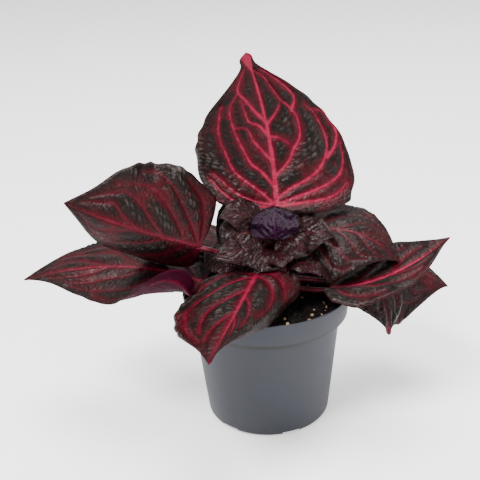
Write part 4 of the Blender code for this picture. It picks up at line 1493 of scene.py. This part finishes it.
def make_leaves(specs, relief, settings, materials, slot, first_seed, solid=True):
    """Makes each leaf of a table. The leaves that have a solid stand for it."""
    for seed, (name, spec) in enumerate(specs.items(), first_seed):
        spec = {**spec, **relief, "seed": seed, "look": VEIN_LOOKS.get(name, COMMON_LOOK)}
        piece = leaf_piece(name + "_blade", spec, settings, materials)
        seated(piece, slot, *([name] if solid else []))


class BLOODLEAF_OT_leaves(bpy.types.Operator):
    """Make the full-grown leaves"""
    bl_idname = "bloodleaf.leaves"
    bl_label = "Leaves"

    def execute(self, context):
        settings = context.scene.bloodleaf_leaves
        colours = {key: tuple(getattr(settings, key)) for key in ("blade", "olive", "wash", "vein")}
        materials = [Finishes.get("blade upper", upper_finish, **colours, **SATIN),
                     Finishes.get("blade under", under_finish, tuple(settings.under),
                                  colours["vein"]),
                     Finishes.get("leaf stalk", stalk_finish, STALK_RED)]
        make_leaves(LEAVES, FULL_GROWN, settings, materials, "blade", 100)
        return {"FINISHED"}


class BLOODLEAF_OT_young_leaves(bpy.types.Operator):
    """Make the youngest leaves round the growing tip"""
    bl_idname = "bloodleaf.young_leaves"
    bl_label = "Young leaves"

    def execute(self, context):
        settings = context.scene.bloodleaf_leaves
        plum = Finishes.get("young upper", upper_finish, tuple(settings.young), **PLUM)
        # Nearly black partly as painted deep shade in the crown
        dark = Finishes.get("dark young upper", upper_finish, **NEARLY_BLACK)
        back = Finishes.get("young under", under_finish, tuple(settings.under), YOUNG_RIB)
        stalk = Finishes.get("leaf stalk", stalk_finish, STALK_RED)
        others = dict(YOUNG_LEAVES)
        front = {PLUM_LEAF: others.pop(PLUM_LEAF)}
        blunt = {**YOUNG, "outline": BLUNT_OUTLINE}
        make_leaves(front, blunt, settings, [plum, back, stalk], "young_blade", 200)
        make_leaves(others, YOUNG, settings, [dark, back, stalk], "young_blade", 210)
        make_leaves(CROWN_LEAVES, blunt, settings, [dark, back, stalk], "young_blade", 230, False)
        return {"FINISHED"}


class BLOODLEAF_OT_stage(bpy.types.Operator):
    """Make the floor, the lights and the camera"""
    bl_idname = "bloodleaf.stage"
    bl_label = "Stage"

    def execute(self, context):
        settings = context.scene.bloodleaf_stage
        scene = context.scene
        reach = FLOOR_REACH / MM
        corners = [(x * reach, y * reach, -FLOOR_DROP / MM)
                   for x, y in ((-1, -1), (1, -1), (1, 1), (-1, 1))]
        floor = mesh_object("floor", corners, [(0, 1, 2, 3)],
                            [floor_finish("pale floor", tuple(settings.floor))])
        world = bpy.data.worlds.new("studio air")
        world.use_nodes = True
        air = world.node_tree.nodes["Background"]
        air.inputs["Color"].default_value = (1.0, 1.0, 1.0, 1.0)
        air.inputs["Strength"].default_value = AIR_STRENGTH
        scene.world = world
        for name, place, size, watts in LIGHTS:
            lamp = bpy.data.lights.new(name, "AREA")
            lamp.shape = "DISK"
            lamp.size = size
            lamp.energy = watts
            item = bpy.data.objects.new(name, lamp)
            item.location = place
            aim = Vector(AIM) - Vector(place)
            item.rotation_euler = aim.to_track_quat("-Z", "Y").to_euler()
            scene.collection.objects.link(item)
        lens = bpy.data.cameras.new("camera")
        lens.lens = settings.lens
        lens.clip_start = 0.01
        camera = bpy.data.objects.new("camera", lens)
        camera.location = CAMERA_PLACE
        turn = (Matrix.Rotation(math.radians(90) - settings.elevation, 3, "X")
                @ Matrix.Rotation(settings.roll, 3, "Z"))
        camera.rotation_euler = turn.to_euler()
        scene.collection.objects.link(camera)
        scene.camera = camera
        return {"FINISHED"}


class BLOODLEAF_PT_panel(bpy.types.Panel):
    """Pieces of the plant and their settings"""
    bl_idname = "BLOODLEAF_PT_panel"
    bl_label = "Potted Bloodleaf"
    bl_space_type = "VIEW_3D"
    bl_region_type = "UI"
    bl_category = "Bloodleaf"

    def draw(self, context):
        layout = self.layout
        for group in SETTINGS:
            box = layout.box()
            for prop in getattr(context.scene, group).bl_rna.properties:
                if prop.identifier not in ("rna_type", "name"):
                    box.prop(getattr(context.scene, group), prop.identifier)
        for operator in PIECES:
            layout.operator(operator.bl_idname)


SETTINGS = {
    "bloodleaf_pot": PotSettings, "bloodleaf_soil": SoilSettings,
    "bloodleaf_leaves": LeafSettings, "bloodleaf_stage": StageSettings,
}
PIECES = (
    BLOODLEAF_OT_stage, BLOODLEAF_OT_pot, BLOODLEAF_OT_soil, BLOODLEAF_OT_stem,
    BLOODLEAF_OT_leaves, BLOODLEAF_OT_young_leaves,
)


def register():
    for group, settings in SETTINGS.items():
        bpy.utils.register_class(settings)
        setattr(bpy.types.Scene, group, bpy.props.PointerProperty(type=settings))
    for made in (*PIECES, BLOODLEAF_PT_panel):
        bpy.utils.register_class(made)


def unregister():
    for made in (BLOODLEAF_PT_panel, *reversed(PIECES)):
        bpy.utils.unregister_class(made)
    for group, settings in SETTINGS.items():
        delattr(bpy.types.Scene, group)
        bpy.utils.unregister_class(settings)


def main():
    register()
    bpy.ops.bloodleaf.stage()
    bpy.ops.bloodleaf.pot()
    bpy.ops.bloodleaf.soil()
    bpy.ops.bloodleaf.stem()
    bpy.ops.bloodleaf.leaves()
    bpy.ops.bloodleaf.young_leaves()


if __name__ == "__main__":
    main()
